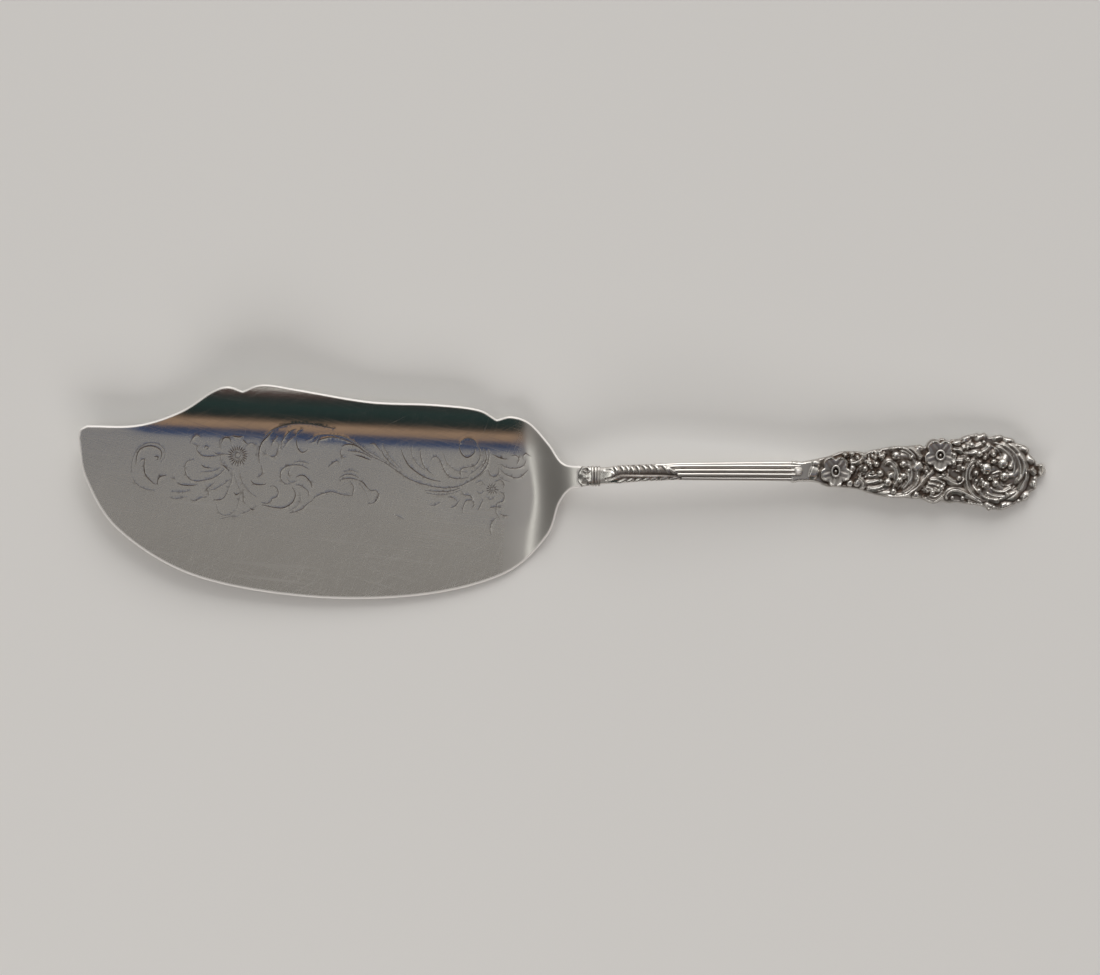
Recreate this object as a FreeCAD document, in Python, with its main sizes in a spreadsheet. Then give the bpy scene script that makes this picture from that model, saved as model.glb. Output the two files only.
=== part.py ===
import FreeCAD, Part
import math
import os

# Fish server: one solid piece of silver, in millimetres.
# The blade runs to -X from the neck and the handle to +X. The upturned rim is on the +Y side.
# Places along the piece are measured from the neck, where the blade meets the handle.

Vector = FreeCAD.Vector
ACROSS = FreeCAD.Rotation(Vector(1, 1, 1), 120)

# Each size has a name, a value and a note. Lengths are millimetres and angles are degrees.
SIZES = (
    ("blade_length", 150.7, "neck to tip"),
    ("belly_depth", 38.4, "handle axis to the lowest point of the long curved edge"),
    ("rim_reach", 26.1, "handle axis to the highest peak of the ogee rim"),
    ("blade_gauge", 1.25, "thickness of the sheet"),
    ("tip_lift", 7.0, "rise of the underside at the tip"),
    ("flat_start", 30.0, "neck to the place where the rise towards the tip begins"),
    ("dish_depth", 1.4, "rise of the belly edge over the middle of the blade"),
    ("dish_axis", 6.0, "handle axis to the lowest line of the dish"),
    ("rim_radius", 23.0, "radius of the roll that turns the rim up"),
    ("rim_angle", 52.0, "steepest slope of the rim"),
    ("fold_datum", 23.6, "neck to the right end of the fold"),
    ("fold_offset", 4.9, "handle axis to the fold at its right end"),
    ("fold_lean", 0.052, "how fast the fold leaves the handle axis towards the tip"),
    ("heel_length", 16.0, "length of the curved heel before the neck"),
    ("heel_rise", 7.2, "underside of the neck over the table"),
    ("neck_slope", 0.15, "slope of the neck where the heel ends"),
    ("rest_dressing", 0.15, "depth of the flat dressed on the underside to rest on"),
    ("root_overlap", 1.2, "length of blade that runs on inside the neck"),
    ("stem_length", 67.0, "neck to the root of the terminal"),
    ("neck_offset", 1.7, "how far the neck lies below the handle axis"),
    ("neck_width", 6.2, "width at the neck"),
    ("neck_depth", 2.1, "height of the section at the neck"),
    ("collar_width", 5.2, "width under the rings"),
    ("collar_depth", 3.2, "height of the section under the rings"),
    ("bud_width", 5.9, "width of the bud after the rings"),
    ("bud_depth", 3.8, "height of the bud"),
    ("stem_width", 5.3, "width over the reeds near the leaf"),
    ("stem_depth", 3.6, "height of the stem under the reeds"),
    ("root_width", 6.2, "width over the reeds at the terminal"),
    ("root_depth", 3.2, "height of the stem at the terminal"),
    ("crest_lift", 8.9, "underside of the stem at its highest"),
    ("ring_pitch", 0.95, "one ring to the next"),
    ("ring_length", 0.8, "length of a ring along the stem"),
    ("ring_bulge", 0.35, "how far a ring stands out"),
    ("volute_radius", 0.95, "radius of the two small volutes on the neck"),
    ("reed_radius", 0.62, "radius of a reed"),
    ("reed_start", 28.0, "neck to the start of the reeds"),
    ("leaf_start", 9.6, "neck to the first vein of the acanthus leaf"),
    ("vein_pitch", 2.35, "one vein of the leaf to the next"),
    ("vein_width", 0.55, "half width of a vein"),
    ("vein_height", 0.5, "how far a vein stands out"),
    ("terminal_length", 74.6, "root to the end of the handle"),
    ("terminal_width", 23.2, "widest part of the carved terminal"),
    ("terminal_plate", 2.8, "thickness of the plate under the relief"),
    ("terminal_tilt", 4.2, "slope of the terminal down to the table"),
    ("plate_bevel", 0.7, "bevel round the front of the plate"),
    ("relief_height", 1.4, "how far the highest relief stands over the plate"),
    ("relief_root", 0.8, "how deep the relief is rooted in the plate"),
    ("petal_reach", 3.0, "centre of a blossom to the middle of a petal"),
    ("petal_radius", 1.75, "radius of a petal at its foot"),
    ("petal_height", 0.95, "how far a petal stands over the plate"),
    ("bloom_ring", 1.45, "radius of the ring at the heart of a blossom"),
    ("bloom_wire", 0.42, "radius of the wire of that ring"),
    ("bloom_bead", 0.5, "radius of the bead in the ring"),
    ("boss_length", 4.8, "height of the boss of the whirl, across the handle"),
    ("boss_width", 3.2, "width of the boss, along the handle"),
    ("knob_length", 4.4, "length of the smooth knob at the terminal's root"),
    ("knob_width", 2.9, "width of the knob"),
)

# The outlines and the relief are drawn at full size on these drawing sizes, and scaled from them.
DRAWN_BLADE = 150.7
DRAWN_BELLY = 38.4
DRAWN_RIM = 26.1
DRAWN_TERMINAL = 74.6
DRAWN_WIDTH = 23.2

HEEL_LOBE = ((-4.5, 2.5), (-8.8, 8.4), (-14.5, 14.6), (-20.0, 16.6), (-24.5, 15.7))
LONG_RIM = (
    (-24.5, 15.7), (-30.5, 18.8), (-44.0, 20.3), (-62.8, 21.1),
    (-83.0, 24.4), (-94.5, 26.1), (-101.0, 24.2),
)
SHORT_RIM = (
    (-101.0, 24.2), (-105.4, 25.5), (-110.5, 23.9),
    (-120.2, 18.0), (-133.0, 14.0), (-148.0, 13.8),
)
TIP_CORNER = ((-148.0, 13.8), (-150.1, 12.6), (-150.7, 10.0))
BELLY = (
    (-150.7, 10.0), (-148.4, -2.5), (-138.5, -18.0), (-116.0, -31.6), (-82.0, -38.0),
    (-48.0, -37.6), (-22.5, -31.2), (-9.6, -20.0), (-5.6, -9.8), (-2.4, -5.6),
)
NECK_LOW = -4.8
NECK_HIGH = 1.45

TERMINAL_TOP = (
    (0.0, 2.6), (7.5, 3.7), (13.0, 5.1), (19.0, 5.0), (27.0, 6.7), (36.0, 7.5),
    (43.0, 9.3), (55.0, 10.2), (63.0, 9.0), (69.0, 5.0), (73.2, 0.4),
)
TERMINAL_BOTTOM = (
    (73.2, 0.4), (70.6, -4.6), (66.0, -8.8), (59.0, -10.8), (50.0, -9.2),
    (38.0, -8.4), (27.0, -7.2), (15.0, -4.9), (0.0, -2.8),
)

# Swelling fingers of the acanthus carving, root first and bulb last: half width, then points.
FINGERS = (
    # shell beside the first blossom
    (0.5, ((14.8, 3.1), (16.4, 3.5), (17.2, 4.2))),
    (0.6, ((13.6, 3.5), (15.3, 4.2), (15.6, 5.3))),
    # cap that hangs from the upper edge
    (0.6, ((19.6, 4.6), (20.1, 3.4), (21.1, 2.2))),
    (0.75, ((21.0, 5.4), (21.7, 3.8), (23.0, 2.2))),
    (0.6, ((24.2, 6.5), (23.6, 5.4), (24.3, 4.5))),
    # fan that opens to the right from the two small leaves
    (0.8, ((17.0, -1.2), (18.1, 0.2), (19.5, 0.8))),
    (0.95, ((18.6, -2.5), (21.1, -2.0), (23.0, -1.5), (24.1, -0.6))),
    (1.1, ((19.6, -4.8), (23.3, -4.7), (25.3, -4.1), (26.4, -3.3))),
    (0.85, ((19.6, -5.9), (23.6, -6.4), (26.8, -6.5), (28.1, -6.0))),
    # turned leaf round the first scroll
    (1.1, ((35.4, -1.6), (34.7, 1.8), (32.3, 4.3), (29.0, 4.8))),
    (0.95, ((33.9, -4.6), (34.0, -1.0), (33.0, 1.5), (31.2, 2.2))),
    (0.9, ((31.5, -5.6), (32.9, -3.4), (32.4, -1.8), (31.2, -1.4))),
    (0.8, ((29.0, -5.5), (29.6, -3.9), (30.1, -2.6))),
    # fingers right of the second blossom
    (0.7, ((44.6, 5.0), (45.6, 5.0), (46.6, 4.9))),
    (0.75, ((44.4, 2.5), (45.4, 2.4), (46.4, 2.6))),
    (0.75, ((47.7, 7.6), (49.8, 8.2), (51.9, 7.9))),
    (0.85, ((47.9, 6.2), (51.0, 6.3), (52.9, 5.9), (54.3, 5.3))),
    (0.65, ((47.4, 4.0), (49.2, 3.9), (50.7, 3.7))),
    (0.7, ((45.9, 0.6), (47.7, 0.8), (49.2, 0.9))),
    # leaf that grows from the long stem
    (0.7, ((38.4, -3.3), (40.8, -4.0), (42.7, -4.8))),
    (0.7, ((36.2, -5.1), (38.4, -5.4), (40.0, -6.3))),
    (0.6, ((40.6, -2.5), (42.2, -2.9), (43.4, -3.8))),
    # whirl of fingers at the end, root at the top and each tip turned in
    (0.7, ((57.2, 7.8), (58.2, 6.7), (58.6, 5.1))),
    (1.3, ((58.3, 8.2), (61.0, 6.8), (62.3, 4.6), (61.4, 2.4))),
    (0.7, ((61.6, 7.4), (63.5, 5.5), (64.4, 3.1), (63.7, 1.4))),
    (1.15, ((63.4, 6.7), (66.1, 4.0), (66.4, 1.0), (64.6, -1.1), (61.9, -1.5))),
    (0.95, ((65.2, -3.8), (62.9, -5.2), (60.7, -5.2), (59.2, -3.6))),
    (1.05, ((62.8, -6.4), (60.7, -7.2), (58.0, -6.6), (56.2, -4.1))),
    (0.7, ((60.9, -8.4), (58.3, -8.6), (55.6, -7.8), (54.1, -5.8))),
    (0.8, ((51.9, -3.4), (52.2, -1.6), (53.2, -0.5))),
    (0.65, ((66.4, -4.9), (64.9, -6.1), (62.7, -7.0))),
)

# Leaf tips that make the outer edge uneven, root first: half width, then points.
EDGE_TIPS = (
    (0.9, ((48.2, 8.4), (49.9, 9.5), (51.6, 10.8))),
    (0.9, ((52.0, 9.0), (54.2, 9.9), (56.3, 11.3))),
    (0.9, ((57.4, 9.3), (59.3, 10.1), (61.5, 10.9))),
    (1.0, ((60.6, 8.9), (62.6, 9.3), (65.0, 9.5))),
    (1.0, ((64.6, 7.4), (66.8, 6.9), (69.6, 6.3))),
    (0.8, ((67.4, 4.4), (69.4, 3.7), (71.5, 3.3))),
    (0.9, ((69.9, -2.0), (71.0, -3.4), (71.4, -5.2))),
    (1.0, ((69.0, -5.2), (68.6, -7.0), (67.4, -9.0))),
    (0.9, ((65.6, -8.8), (63.2, -10.3), (60.2, -11.4))),
    (0.9, ((54.6, -9.0), (56.6, -10.1), (58.9, -11.2))),
    (0.8, ((34.0, -7.0), (35.2, -7.6), (36.4, -8.6))),
    (0.8, ((36.8, 5.6), (36.3, 6.7), (35.8, 7.9))),
)

# Thin raised rims of the scrolls and the long stem between them: half width, then points.
SCROLL_RIMS = (
    (0.4, ((14.4, 2.3), (16.8, 2.7), (18.6, 3.8), (18.8, 5.0), (17.6, 5.5))),
    (0.4, ((25.4, 1.2), (26.0, 2.5), (27.2, 2.8), (28.9, 1.1), (29.5, -1.4), (28.8, -3.6), (27.6, -5.2))),
    (0.4, ((26.6, 6.4), (28.6, 7.2), (31.0, 7.1), (33.4, 5.8), (35.3, 3.6))),
    (0.4, ((17.1, -1.9), (18.6, -3.2), (19.2, -5.4))),
    (0.4, ((25.0, -7.3), (31.3, -7.3), (35.0, -5.2), (37.4, -2.6), (40.4, 0.4))),
    (0.4, ((40.6, -1.6), (43.6, -2.0), (46.2, -3.5), (48.2, -3.8), (49.3, -2.7), (48.8, -1.4))),
    (0.4, ((37.6, -7.0), (38.4, -8.7), (40.6, -9.2), (42.8, -7.7), (43.3, -6.6))),
    (0.45, ((44.8, -8.9), (44.2, -7.4), (45.4, -6.0), (47.6, -5.7), (50.2, -6.8), (54.6, -9.2))),
    (0.45, ((54.2, 3.4), (51.6, 2.4), (50.3, -0.6), (50.6, -4.2), (52.6, -7.3), (56.4, -9.4))),
    (0.4, ((65.4, 6.0), (67.8, 2.6), (67.4, -1.2), (64.9, -3.9))),
    (0.55, ((71.7, 1.4), (73.3, 1.6), (73.9, 0.0), (72.8, -1.4), (71.0, -1.4))),
)

# Pointed leaves of the carving: half width, then the two ends.
SMALL_LEAVES = (
    (1.3, ((3.0, 1.0), (7.4, -1.6))),
    (0.9, ((3.4, 2.6), (6.6, 2.0))),
    (1.1, ((15.0, 1.2), (15.8, -1.6))),
    (1.0, ((26.8, 0.4), (27.9, -3.0))),
    (1.1, ((34.2, 2.9), (37.0, -0.4))),
    (1.3, ((47.0, 9.7), (47.1, 7.2))),
    (0.8, ((15.0, -2.4), (15.2, -4.9))),
)

# Beads of the carving: radius, then place.
BEADS = (
    (0.6, (21.9, -0.3)), (0.5, (24.3, -2.8)), (0.75, (48.0, -2.1)), (0.6, (46.0, -8.0)),
    (0.65, (49.1, -8.1)), (0.55, (55.6, 8.8)), (0.55, (53.3, -2.9)), (0.6, (32.8, 0.2)),
)
BLOSSOMS = (("First", (10.7, 0.0)), ("Second", (42.4, 4.8)))
BOSS = (57.2, 0.7)
KNOB = (0.5, 0.0)
KNOB_LIFT = 0.4
PETALS = 5
PETAL_TURN = 54.0
REEDS = 5
RINGS = 3
UPPER_VEINS = 7
LOWER_VEINS = 4

# Sides of the faceted forms.
OVAL_SIDES = 18
REED_SIDES = 10
PETAL_SIDES = 10
HEART_SIDES = 14
BEAD_SIDES = 8

# Stations along the handle, as shares of the stem length, with the sizes of the section there.
STATIONS = (
    (0.0, "neck_width", "neck_depth"),
    (0.085, "collar_width", "collar_depth"),
    (0.15, "bud_width", "bud_depth"),
    (0.30, "stem_width", "stem_depth"),
    (0.78, "stem_width", "stem_depth"),
    (1.03, "root_width", "root_depth"),
)
REEDED_FROM = 0.44
REED_SHARES = (0.58, 0.78, 0.985)
CREST_SHARE = 0.30
CREST_FALL = 1.3
STRAIGHT_SHARE = 0.42
RING_SHARE = 0.065

# The core starts inside the heel, in a flat oval as thick as the sheet.
CORE_INSET = 0.32
CORE_START_WIDTH = 0.6
CORE_START_DEPTH = 0.85
CORE_UNDER_REEDS = 1.4
REED_SUNK = 0.55
REED_STAGGER = 3.0
FIRST_REED_STAGGER = 6.0

# A ring in four sections: place along its length and share of its bulge.
RING_SECTIONS = ((-0.5, 0.3), (-0.2, 1.0), (0.2, 1.0), (0.5, 0.3))

# Ridges are the strokes of the carving. A profile gives place, width and height along the stroke.
FINGER = ((0.0, 0.35, 0.35), (0.4, 0.65, 0.65), (0.78, 1.0, 0.95), (0.93, 0.85, 1.0), (1.0, 0.3, 0.55))
TIP = ((0.0, 0.6, 0.5), (0.45, 1.0, 0.8), (0.8, 0.8, 0.8), (1.0, 0.25, 0.35))
RIM = (
    (0.0, 0.7, 0.4), (0.14, 1.0, 0.7), (0.28, 1.0, 0.9), (0.43, 1.0, 1.0),
    (0.57, 1.0, 1.0), (0.72, 1.0, 0.9), (0.86, 1.0, 0.7), (1.0, 0.7, 0.4),
)
LEAF = ((0.0, 0.25, 0.3), (0.35, 1.0, 0.75), (0.65, 0.85, 0.8), (1.0, 0.1, 0.25))
VEIN = ((0.0, 0.6, 0.2), (0.35, 1.0, 1.0), (0.7, 1.0, 1.0), (1.0, 0.5, 0.2))
SHOULDER_PLACE = 0.8
SHOULDER_HEIGHT = 0.6

# A vein in three points: shares of the vein pitch, of the half width and of the drop at the side.
UPPER_VEIN = ((0.0, 0.86, 1.0), (0.4, 0.5, 0.15), (0.9, 0.0, 0.0))
LOWER_VEIN = ((0.0, -0.86, 1.0), (0.5, -0.6, 0.4), (1.1, -0.35, 0.1))
LOWER_VEIN_START = 0.6
LOWER_VEIN_PITCH = 1.7
VEIN_DROP = 0.35
VEIN_SUNK = 0.2

# Volutes and tongue of the neck, as shares of their radius, of the neck's size and of the stem length.
VOLUTE_PLACE = 2.4
VOLUTE_SPREAD = 0.29
VOLUTE_FOOT = 0.65
VOLUTE_HEIGHT = 0.6
TONGUE_REACH = 0.05
TONGUE_WIDTH = 0.16

# Height of each kind of stroke as a share of the relief, and how far it lies under the plate's top.
FINGER_HEIGHT = 1.0
FINGER_CLIMB = 0.25
TIP_HEIGHT = 0.85
TIP_SUNK = 0.45
RIM_HEIGHT = 0.75
LEAF_HEIGHT = 0.8
BEAD_HEIGHT = 0.8

document = FreeCAD.newDocument("FishServer")
sheet = document.addObject("Spreadsheet::Sheet", "Sizes")


def fill_sheet():
    """Write each size, its alias and its note into the sheet."""
    for row, (name, value, note) in enumerate(SIZES, start=1):
        sheet.set("A%d" % row, name)
        sheet.set("B%d" % row, str(value))
        sheet.set("C%d" % row, note)
        sheet.setAlias("B%d" % row, name)
    document.recompute()


def size(name):
    """Value of one named size."""
    return float(sheet.get(name))


def bind(thing, expressions):
    """Tie properties of an object to the sheet."""
    for property_name, expression in expressions.items():
        thing.setExpression(property_name, expression)


def cell(name):
    """Expression for one named size."""
    return "Sizes." + name


def smooth(points):
    """Smooth curve through points of the blade's plan."""
    curve = Part.BSplineCurve()
    curve.interpolate([Vector(x, y, 0) for x, y in points])
    return curve.toShape()


# The blade

def on_blade(x, y):
    """Scale a drawn point of the blade's outline to its sizes."""
    drawn_reach, reach = (DRAWN_RIM, size("rim_reach")) if y > 0 else (DRAWN_BELLY, size("belly_depth"))
    return (x * size("blade_length") / DRAWN_BLADE, y * reach / drawn_reach)


def blade_outline():
    """Face of the blade seen from above: two ogee rims with cusps, a round tip and a long belly."""
    overlap = size("root_overlap")
    high = (overlap, NECK_HIGH)
    low = (overlap, NECK_LOW)
    lobe = [high] + [on_blade(*point) for point in HEEL_LOBE]
    belly = [on_blade(*point) for point in BELLY] + [low]
    corner = [Vector(*on_blade(*point), 0) for point in TIP_CORNER]
    edges = [
        smooth(lobe),
        smooth([on_blade(*point) for point in LONG_RIM]),
        smooth([on_blade(*point) for point in SHORT_RIM]),
        Part.Arc(*corner).toShape(),
        smooth(belly),
        Part.LineSegment(Vector(*low, 0), Vector(*high, 0)).toShape(),
    ]
    return Part.Face(Part.Wire(edges))


def rim_rise(distance):
    """Rise of the rim at a distance outside the fold: a round roll, then a straight wall."""
    if distance <= 0:
        return 0.0
    radius = size("rim_radius")
    steepest = math.radians(size("rim_angle"))
    roll = radius * math.sin(steepest)
    if distance <= roll:
        return radius - math.sqrt(radius ** 2 - distance ** 2)
    return radius * (1 - math.cos(steepest)) + (distance - roll) * math.tan(steepest)


def heel_height(x):
    """Rise of the heel towards the neck, level where it starts."""
    length = size("heel_length")
    share = (x + length) / length
    if share <= 0:
        return 0.0
    if share >= 1:
        return size("heel_rise") + (share - 1) * length * size("neck_slope")
    lean = size("neck_slope") * length * (share ** 3 - share ** 2)
    return size("heel_rise") * (3 * share ** 2 - 2 * share ** 3) + lean


def blade_underside(x, y):
    """Height of the blade's underside over the table."""
    flat_start = size("flat_start")
    run = max(0.0, -x - flat_start) / (size("blade_length") - flat_start)
    rocker = size("tip_lift") * run ** 2
    dish = size("dish_depth") * ((y + size("dish_axis")) / (size("belly_depth") - size("dish_axis"))) ** 2
    fold = size("fold_offset") + (-x - size("fold_datum")) * size("fold_lean")
    return rocker + dish + rim_rise(y - fold) + heel_height(x) - size("rest_dressing")


def blade_skin():
    """Smooth underside of the blade, larger all round than its outline."""
    columns, rows = 27, 19
    margin = 0.02 * size("blade_length")
    left = -size("blade_length") - margin
    right = size("root_overlap") + margin
    low = -size("belly_depth") - margin
    high = size("rim_reach") + margin
    grid = []
    for column in range(columns):
        x = left + (right - left) * column / (columns - 1)
        line = []
        for row in range(rows):
            y = low + (high - low) * row / (rows - 1)
            line.append(Vector(x, y, blade_underside(x, y)))
        grid.append(line)
    surface = Part.BSplineSurface()
    surface.interpolate(grid)
    return surface.toShape()


def make_blade():
    """Thin sheet trimmed by the outline. The outline's foot dresses the flat that it rests on."""
    skin = document.addObject("Part::Feature", "BladeSkin")
    skin.Shape = blade_skin()
    blank = document.addObject("Part::Extrusion", "BladeBlank")
    blank.Base = skin
    blank.DirMode = "Custom"
    blank.Dir = Vector(0, 0, 1)
    blank.Solid = True
    bind(blank, {"LengthFwd": cell("blade_gauge")})
    outline = document.addObject("Part::Feature", "BladeOutline")
    outline.Shape = blade_outline()
    prism = document.addObject("Part::Extrusion", "BladePrism")
    prism.Base = outline
    prism.DirMode = "Custom"
    prism.Dir = Vector(0, 0, 1)
    prism.Solid = True
    bind(prism, {"LengthFwd": "Sizes.rim_reach + Sizes.tip_lift + Sizes.heel_rise"})
    blade = document.addObject("Part::Common", "Blade")
    blade.Base = blank
    blade.Tool = prism
    return blade


# The neck, the collar, the leaf and the reeds

def root_lift():
    """Underside of the handle where the terminal begins, so that the tilted terminal ends on the table."""
    return size("terminal_length") * math.sin(math.radians(size("terminal_tilt")))


def core_section(share):
    """Offset, underside, width and height of the handle at a share of the stem length."""
    offset = size("neck_offset") * max(0.0, 1 - share / STRAIGHT_SHARE)
    if share < CREST_SHARE:
        climb = math.sin(share / CREST_SHARE * math.pi / 2)
        lift = size("heel_rise") + (size("crest_lift") - size("heel_rise")) * climb
    else:
        fall = (share - CREST_SHARE) / (1 - CREST_SHARE)
        lift = size("crest_lift") - (size("crest_lift") - root_lift()) * fall ** CREST_FALL
    for left, right in zip(STATIONS, STATIONS[1:]):
        if share <= right[0]:
            part = max(0.0, (share - left[0]) / (right[0] - left[0]))
            width = size(left[1]) + (size(right[1]) - size(left[1])) * part
            depth = size(left[2]) + (size(right[2]) - size(left[2])) * part
            break
    return offset, lift, width, depth


def crown_height(x, across=0.0):
    """Top of the handle at a distance from the neck and from the middle line."""
    _, lift, width, depth = core_section(max(0.0, x) / size("stem_length"))
    return lift + depth / 2 * (1 + math.sqrt(max(0.0, 1 - (2 * across / width) ** 2)))


def middle_line(x):
    """Distance of the handle's middle line from the handle axis."""
    return -core_section(max(0.0, x) / size("stem_length"))[0]


def oval(name, along, offset, lift, width, depth):
    """Upright faceted oval across the handle, standing on its underside."""
    corners = []
    for number in range(OVAL_SIDES + 1):
        turn = 2 * math.pi * (number % OVAL_SIDES) / OVAL_SIDES
        across = width / 2 * math.cos(turn) - offset
        corners.append(Vector(along, across, lift + depth / 2 * (1 + math.sin(turn))))
    section = document.addObject("Part::Feature", name)
    section.Shape = Part.makePolygon(corners)
    return section


def loft(name, sections):
    """Solid with straight sides from each section to the next."""
    solid = document.addObject("Part::Loft", name)
    solid.Sections = sections
    solid.Solid = True
    solid.Ruled = True
    return solid


def make_core():
    """Core of the handle, from inside the heel to inside the terminal."""
    stem, offset = size("stem_length"), size("neck_offset")
    start = -CORE_INSET * size("heel_length")
    depth = CORE_START_DEPTH * size("blade_gauge")
    inset = (size("blade_gauge") - depth) / 2
    width = CORE_START_WIDTH * size("neck_width")
    lift = blade_underside(start, -offset) + inset
    sections = [oval("HeelSection", start, offset, lift, width, depth)]
    shares = sorted([station[0] for station in STATIONS] + [REEDED_FROM, REED_SHARES[0]])
    for number, share in enumerate(shares, start=1):
        offset, lift, width, depth = core_section(share)
        lift -= size("rest_dressing")
        if share >= REEDED_FROM:
            width -= CORE_UNDER_REEDS * size("reed_radius")
        sections.append(oval("CoreSection%d" % number, share * stem, offset, lift, width, depth))
    return loft("HandleCore", sections)


def make_rings():
    """Raised rings round the neck."""
    rings = []
    stem, bulge = size("stem_length"), size("ring_bulge")
    for number in range(1, RINGS + 1):
        centre = RING_SHARE * stem + size("ring_pitch") * (number - 1)
        sections = []
        for place, (along, swell) in enumerate(RING_SECTIONS, start=1):
            x = centre + size("ring_length") * along
            offset, lift, width, depth = core_section(x / stem)
            grow = bulge * swell
            name = "Ring%dSection%d" % (number, place)
            sections.append(oval(name, x, offset, lift - grow, width + 2 * grow, depth + 2 * grow))
        rings.append(loft("Ring%d" % number, sections))
    return rings


def make_reeds():
    """Reeds side by side over the crown of the stem, with staggered starts."""
    reeds = []
    stem, radius = size("stem_length"), size("reed_radius")
    for number in range(REEDS):
        stagger = REED_STAGGER * (REEDS - 1 - number) if number else FIRST_REED_STAGGER
        stations = [size("reed_start") + stagger * radius] + [share * stem for share in REED_SHARES]
        sections = []
        for place, x in enumerate(stations, start=1):
            width = core_section(x / stem)[2]
            across = (number / (REEDS - 1) - 0.5) * (width - 2 * radius)
            lift = crown_height(x, across) - REED_SUNK * radius
            section = document.addObject("Part::RegularPolygon", "Reed%dSection%d" % (number + 1, place))
            section.Polygon = REED_SIDES
            section.Placement = FreeCAD.Placement(Vector(x, across, lift), ACROSS)
            bind(section, {"Circumradius": cell("reed_radius")})
            sections.append(section)
        reeds.append(loft("Reed%d" % (number + 1), sections))
    return reeds


# Forms of the carving

def ridge(points, half_width, height, root, profile):
    """Carved stroke along a curve. Thin rims and veins are plain gables, and the others have shoulders."""
    shoulders = () if profile in (RIM, VEIN) else (SHOULDER_PLACE,)
    curve = Part.BSplineCurve()
    curve.interpolate([Vector(*point) for point in points])
    length = curve.length()
    wires = []
    for share, wide, tall in profile:
        parameter = curve.parameterAtDistance(length * share, curve.FirstParameter)
        centre = curve.value(parameter)
        along = curve.tangent(parameter)[0]
        side = Vector(-along.y, along.x, 0).normalize()
        reach = half_width * wide
        crest = height * tall
        shoulder = crest * SHOULDER_HEIGHT
        corners = [(-reach, -root)] + [(-reach * place, shoulder) for place in shoulders] + [(0, crest)]
        corners += [(reach * place, shoulder) for place in shoulders] + [(reach, -root)]
        ring = [centre + side * across + Vector(0, 0, up) for across, up in corners]
        wires.append(Part.makePolygon(ring + ring[:1]))
    return Part.makeLoft(wires, True, True)


def turned(levels, sides):
    """Faceted round form from levels of radius and height."""
    rings = []
    for radius, up in levels:
        corners = []
        for number in range(sides + 1):
            turn = 2 * math.pi * (number % sides) / sides
            corners.append(Vector(radius * math.cos(turn), radius * math.sin(turn), up))
        rings.append(Part.makePolygon(corners))
    return Part.makeLoft(rings, True, True)


def dome(radius, height, root):
    """Small dome with a flat top, rooted below its own origin."""
    return turned(((radius, -root), (radius, 0.3 * height), (0.55 * radius, height)), BEAD_SIDES)


def make_veins():
    """Acanthus leaf on the stem: slanting veins above the midrib and shorter ones below it."""
    start, pitch = size("leaf_start"), size("vein_pitch")
    half_width, height = size("vein_width"), size("vein_height")
    reach = size("stem_width") / 2
    drop = VEIN_DROP * size("stem_depth")
    upper = [(start + pitch * number, UPPER_VEIN) for number in range(UPPER_VEINS)]
    lower_start = start + pitch * LOWER_VEIN_START
    lower = [(lower_start + pitch * LOWER_VEIN_PITCH * number, LOWER_VEIN) for number in range(LOWER_VEINS)]
    veins = []
    for number, (x, course) in enumerate(upper + lower, start=1):
        points = []
        for along, across, down in course:
            place = x + along * pitch
            points.append((
                place, middle_line(x) + across * reach, crown_height(place) - down * drop - VEIN_SUNK,
            ))
        vein = document.addObject("Part::Feature", "Vein%d" % number)
        vein.Shape = ridge(points, half_width, height, height, VEIN)
        veins.append(vein)
    return veins


def make_volutes():
    """Two small volutes on the neck and the tongue between them."""
    volutes = []
    x = VOLUTE_PLACE * size("volute_radius")
    for number, side in enumerate((-1, 1), start=1):
        volute = document.addObject("Part::Cylinder", "Volute%d" % number)
        bind(volute, {"Radius": cell("volute_radius"), "Height": "Sizes.neck_depth * %g" % VOLUTE_HEIGHT})
        y = middle_line(x) + side * VOLUTE_SPREAD * size("neck_width")
        lift = crown_height(x) - VOLUTE_FOOT * size("neck_depth")
        volute.Placement = FreeCAD.Placement(Vector(x, y, lift), FreeCAD.Rotation())
        volutes.append(volute)
    tongue = document.addObject("Part::Feature", "NeckTongue")
    reach = TONGUE_REACH * size("stem_length")
    height = size("vein_height")
    points = [(x, middle_line(0), crown_height(x) - VEIN_SUNK) for x in (-reach, 0.0, reach)]
    tongue.Shape = ridge(points, TONGUE_WIDTH * size("neck_width"), height, height, LEAF)
    return volutes + [tongue]


# The terminal

def terminal_place(x=0.0, y=0.0, z=0.0):
    """Placement of something at a point of the terminal's own tilted frame."""
    turn = FreeCAD.Rotation(Vector(0, 1, 0), size("terminal_tilt"))
    frame = FreeCAD.Placement(Vector(size("stem_length"), 0, root_lift()), turn)
    return frame * FreeCAD.Placement(Vector(x, y, z), FreeCAD.Rotation())


def on_terminal(x, y):
    """Scale a drawn point of the terminal to its sizes."""
    return (x * size("terminal_length") / DRAWN_TERMINAL, y * size("terminal_width") / DRAWN_WIDTH)


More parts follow.
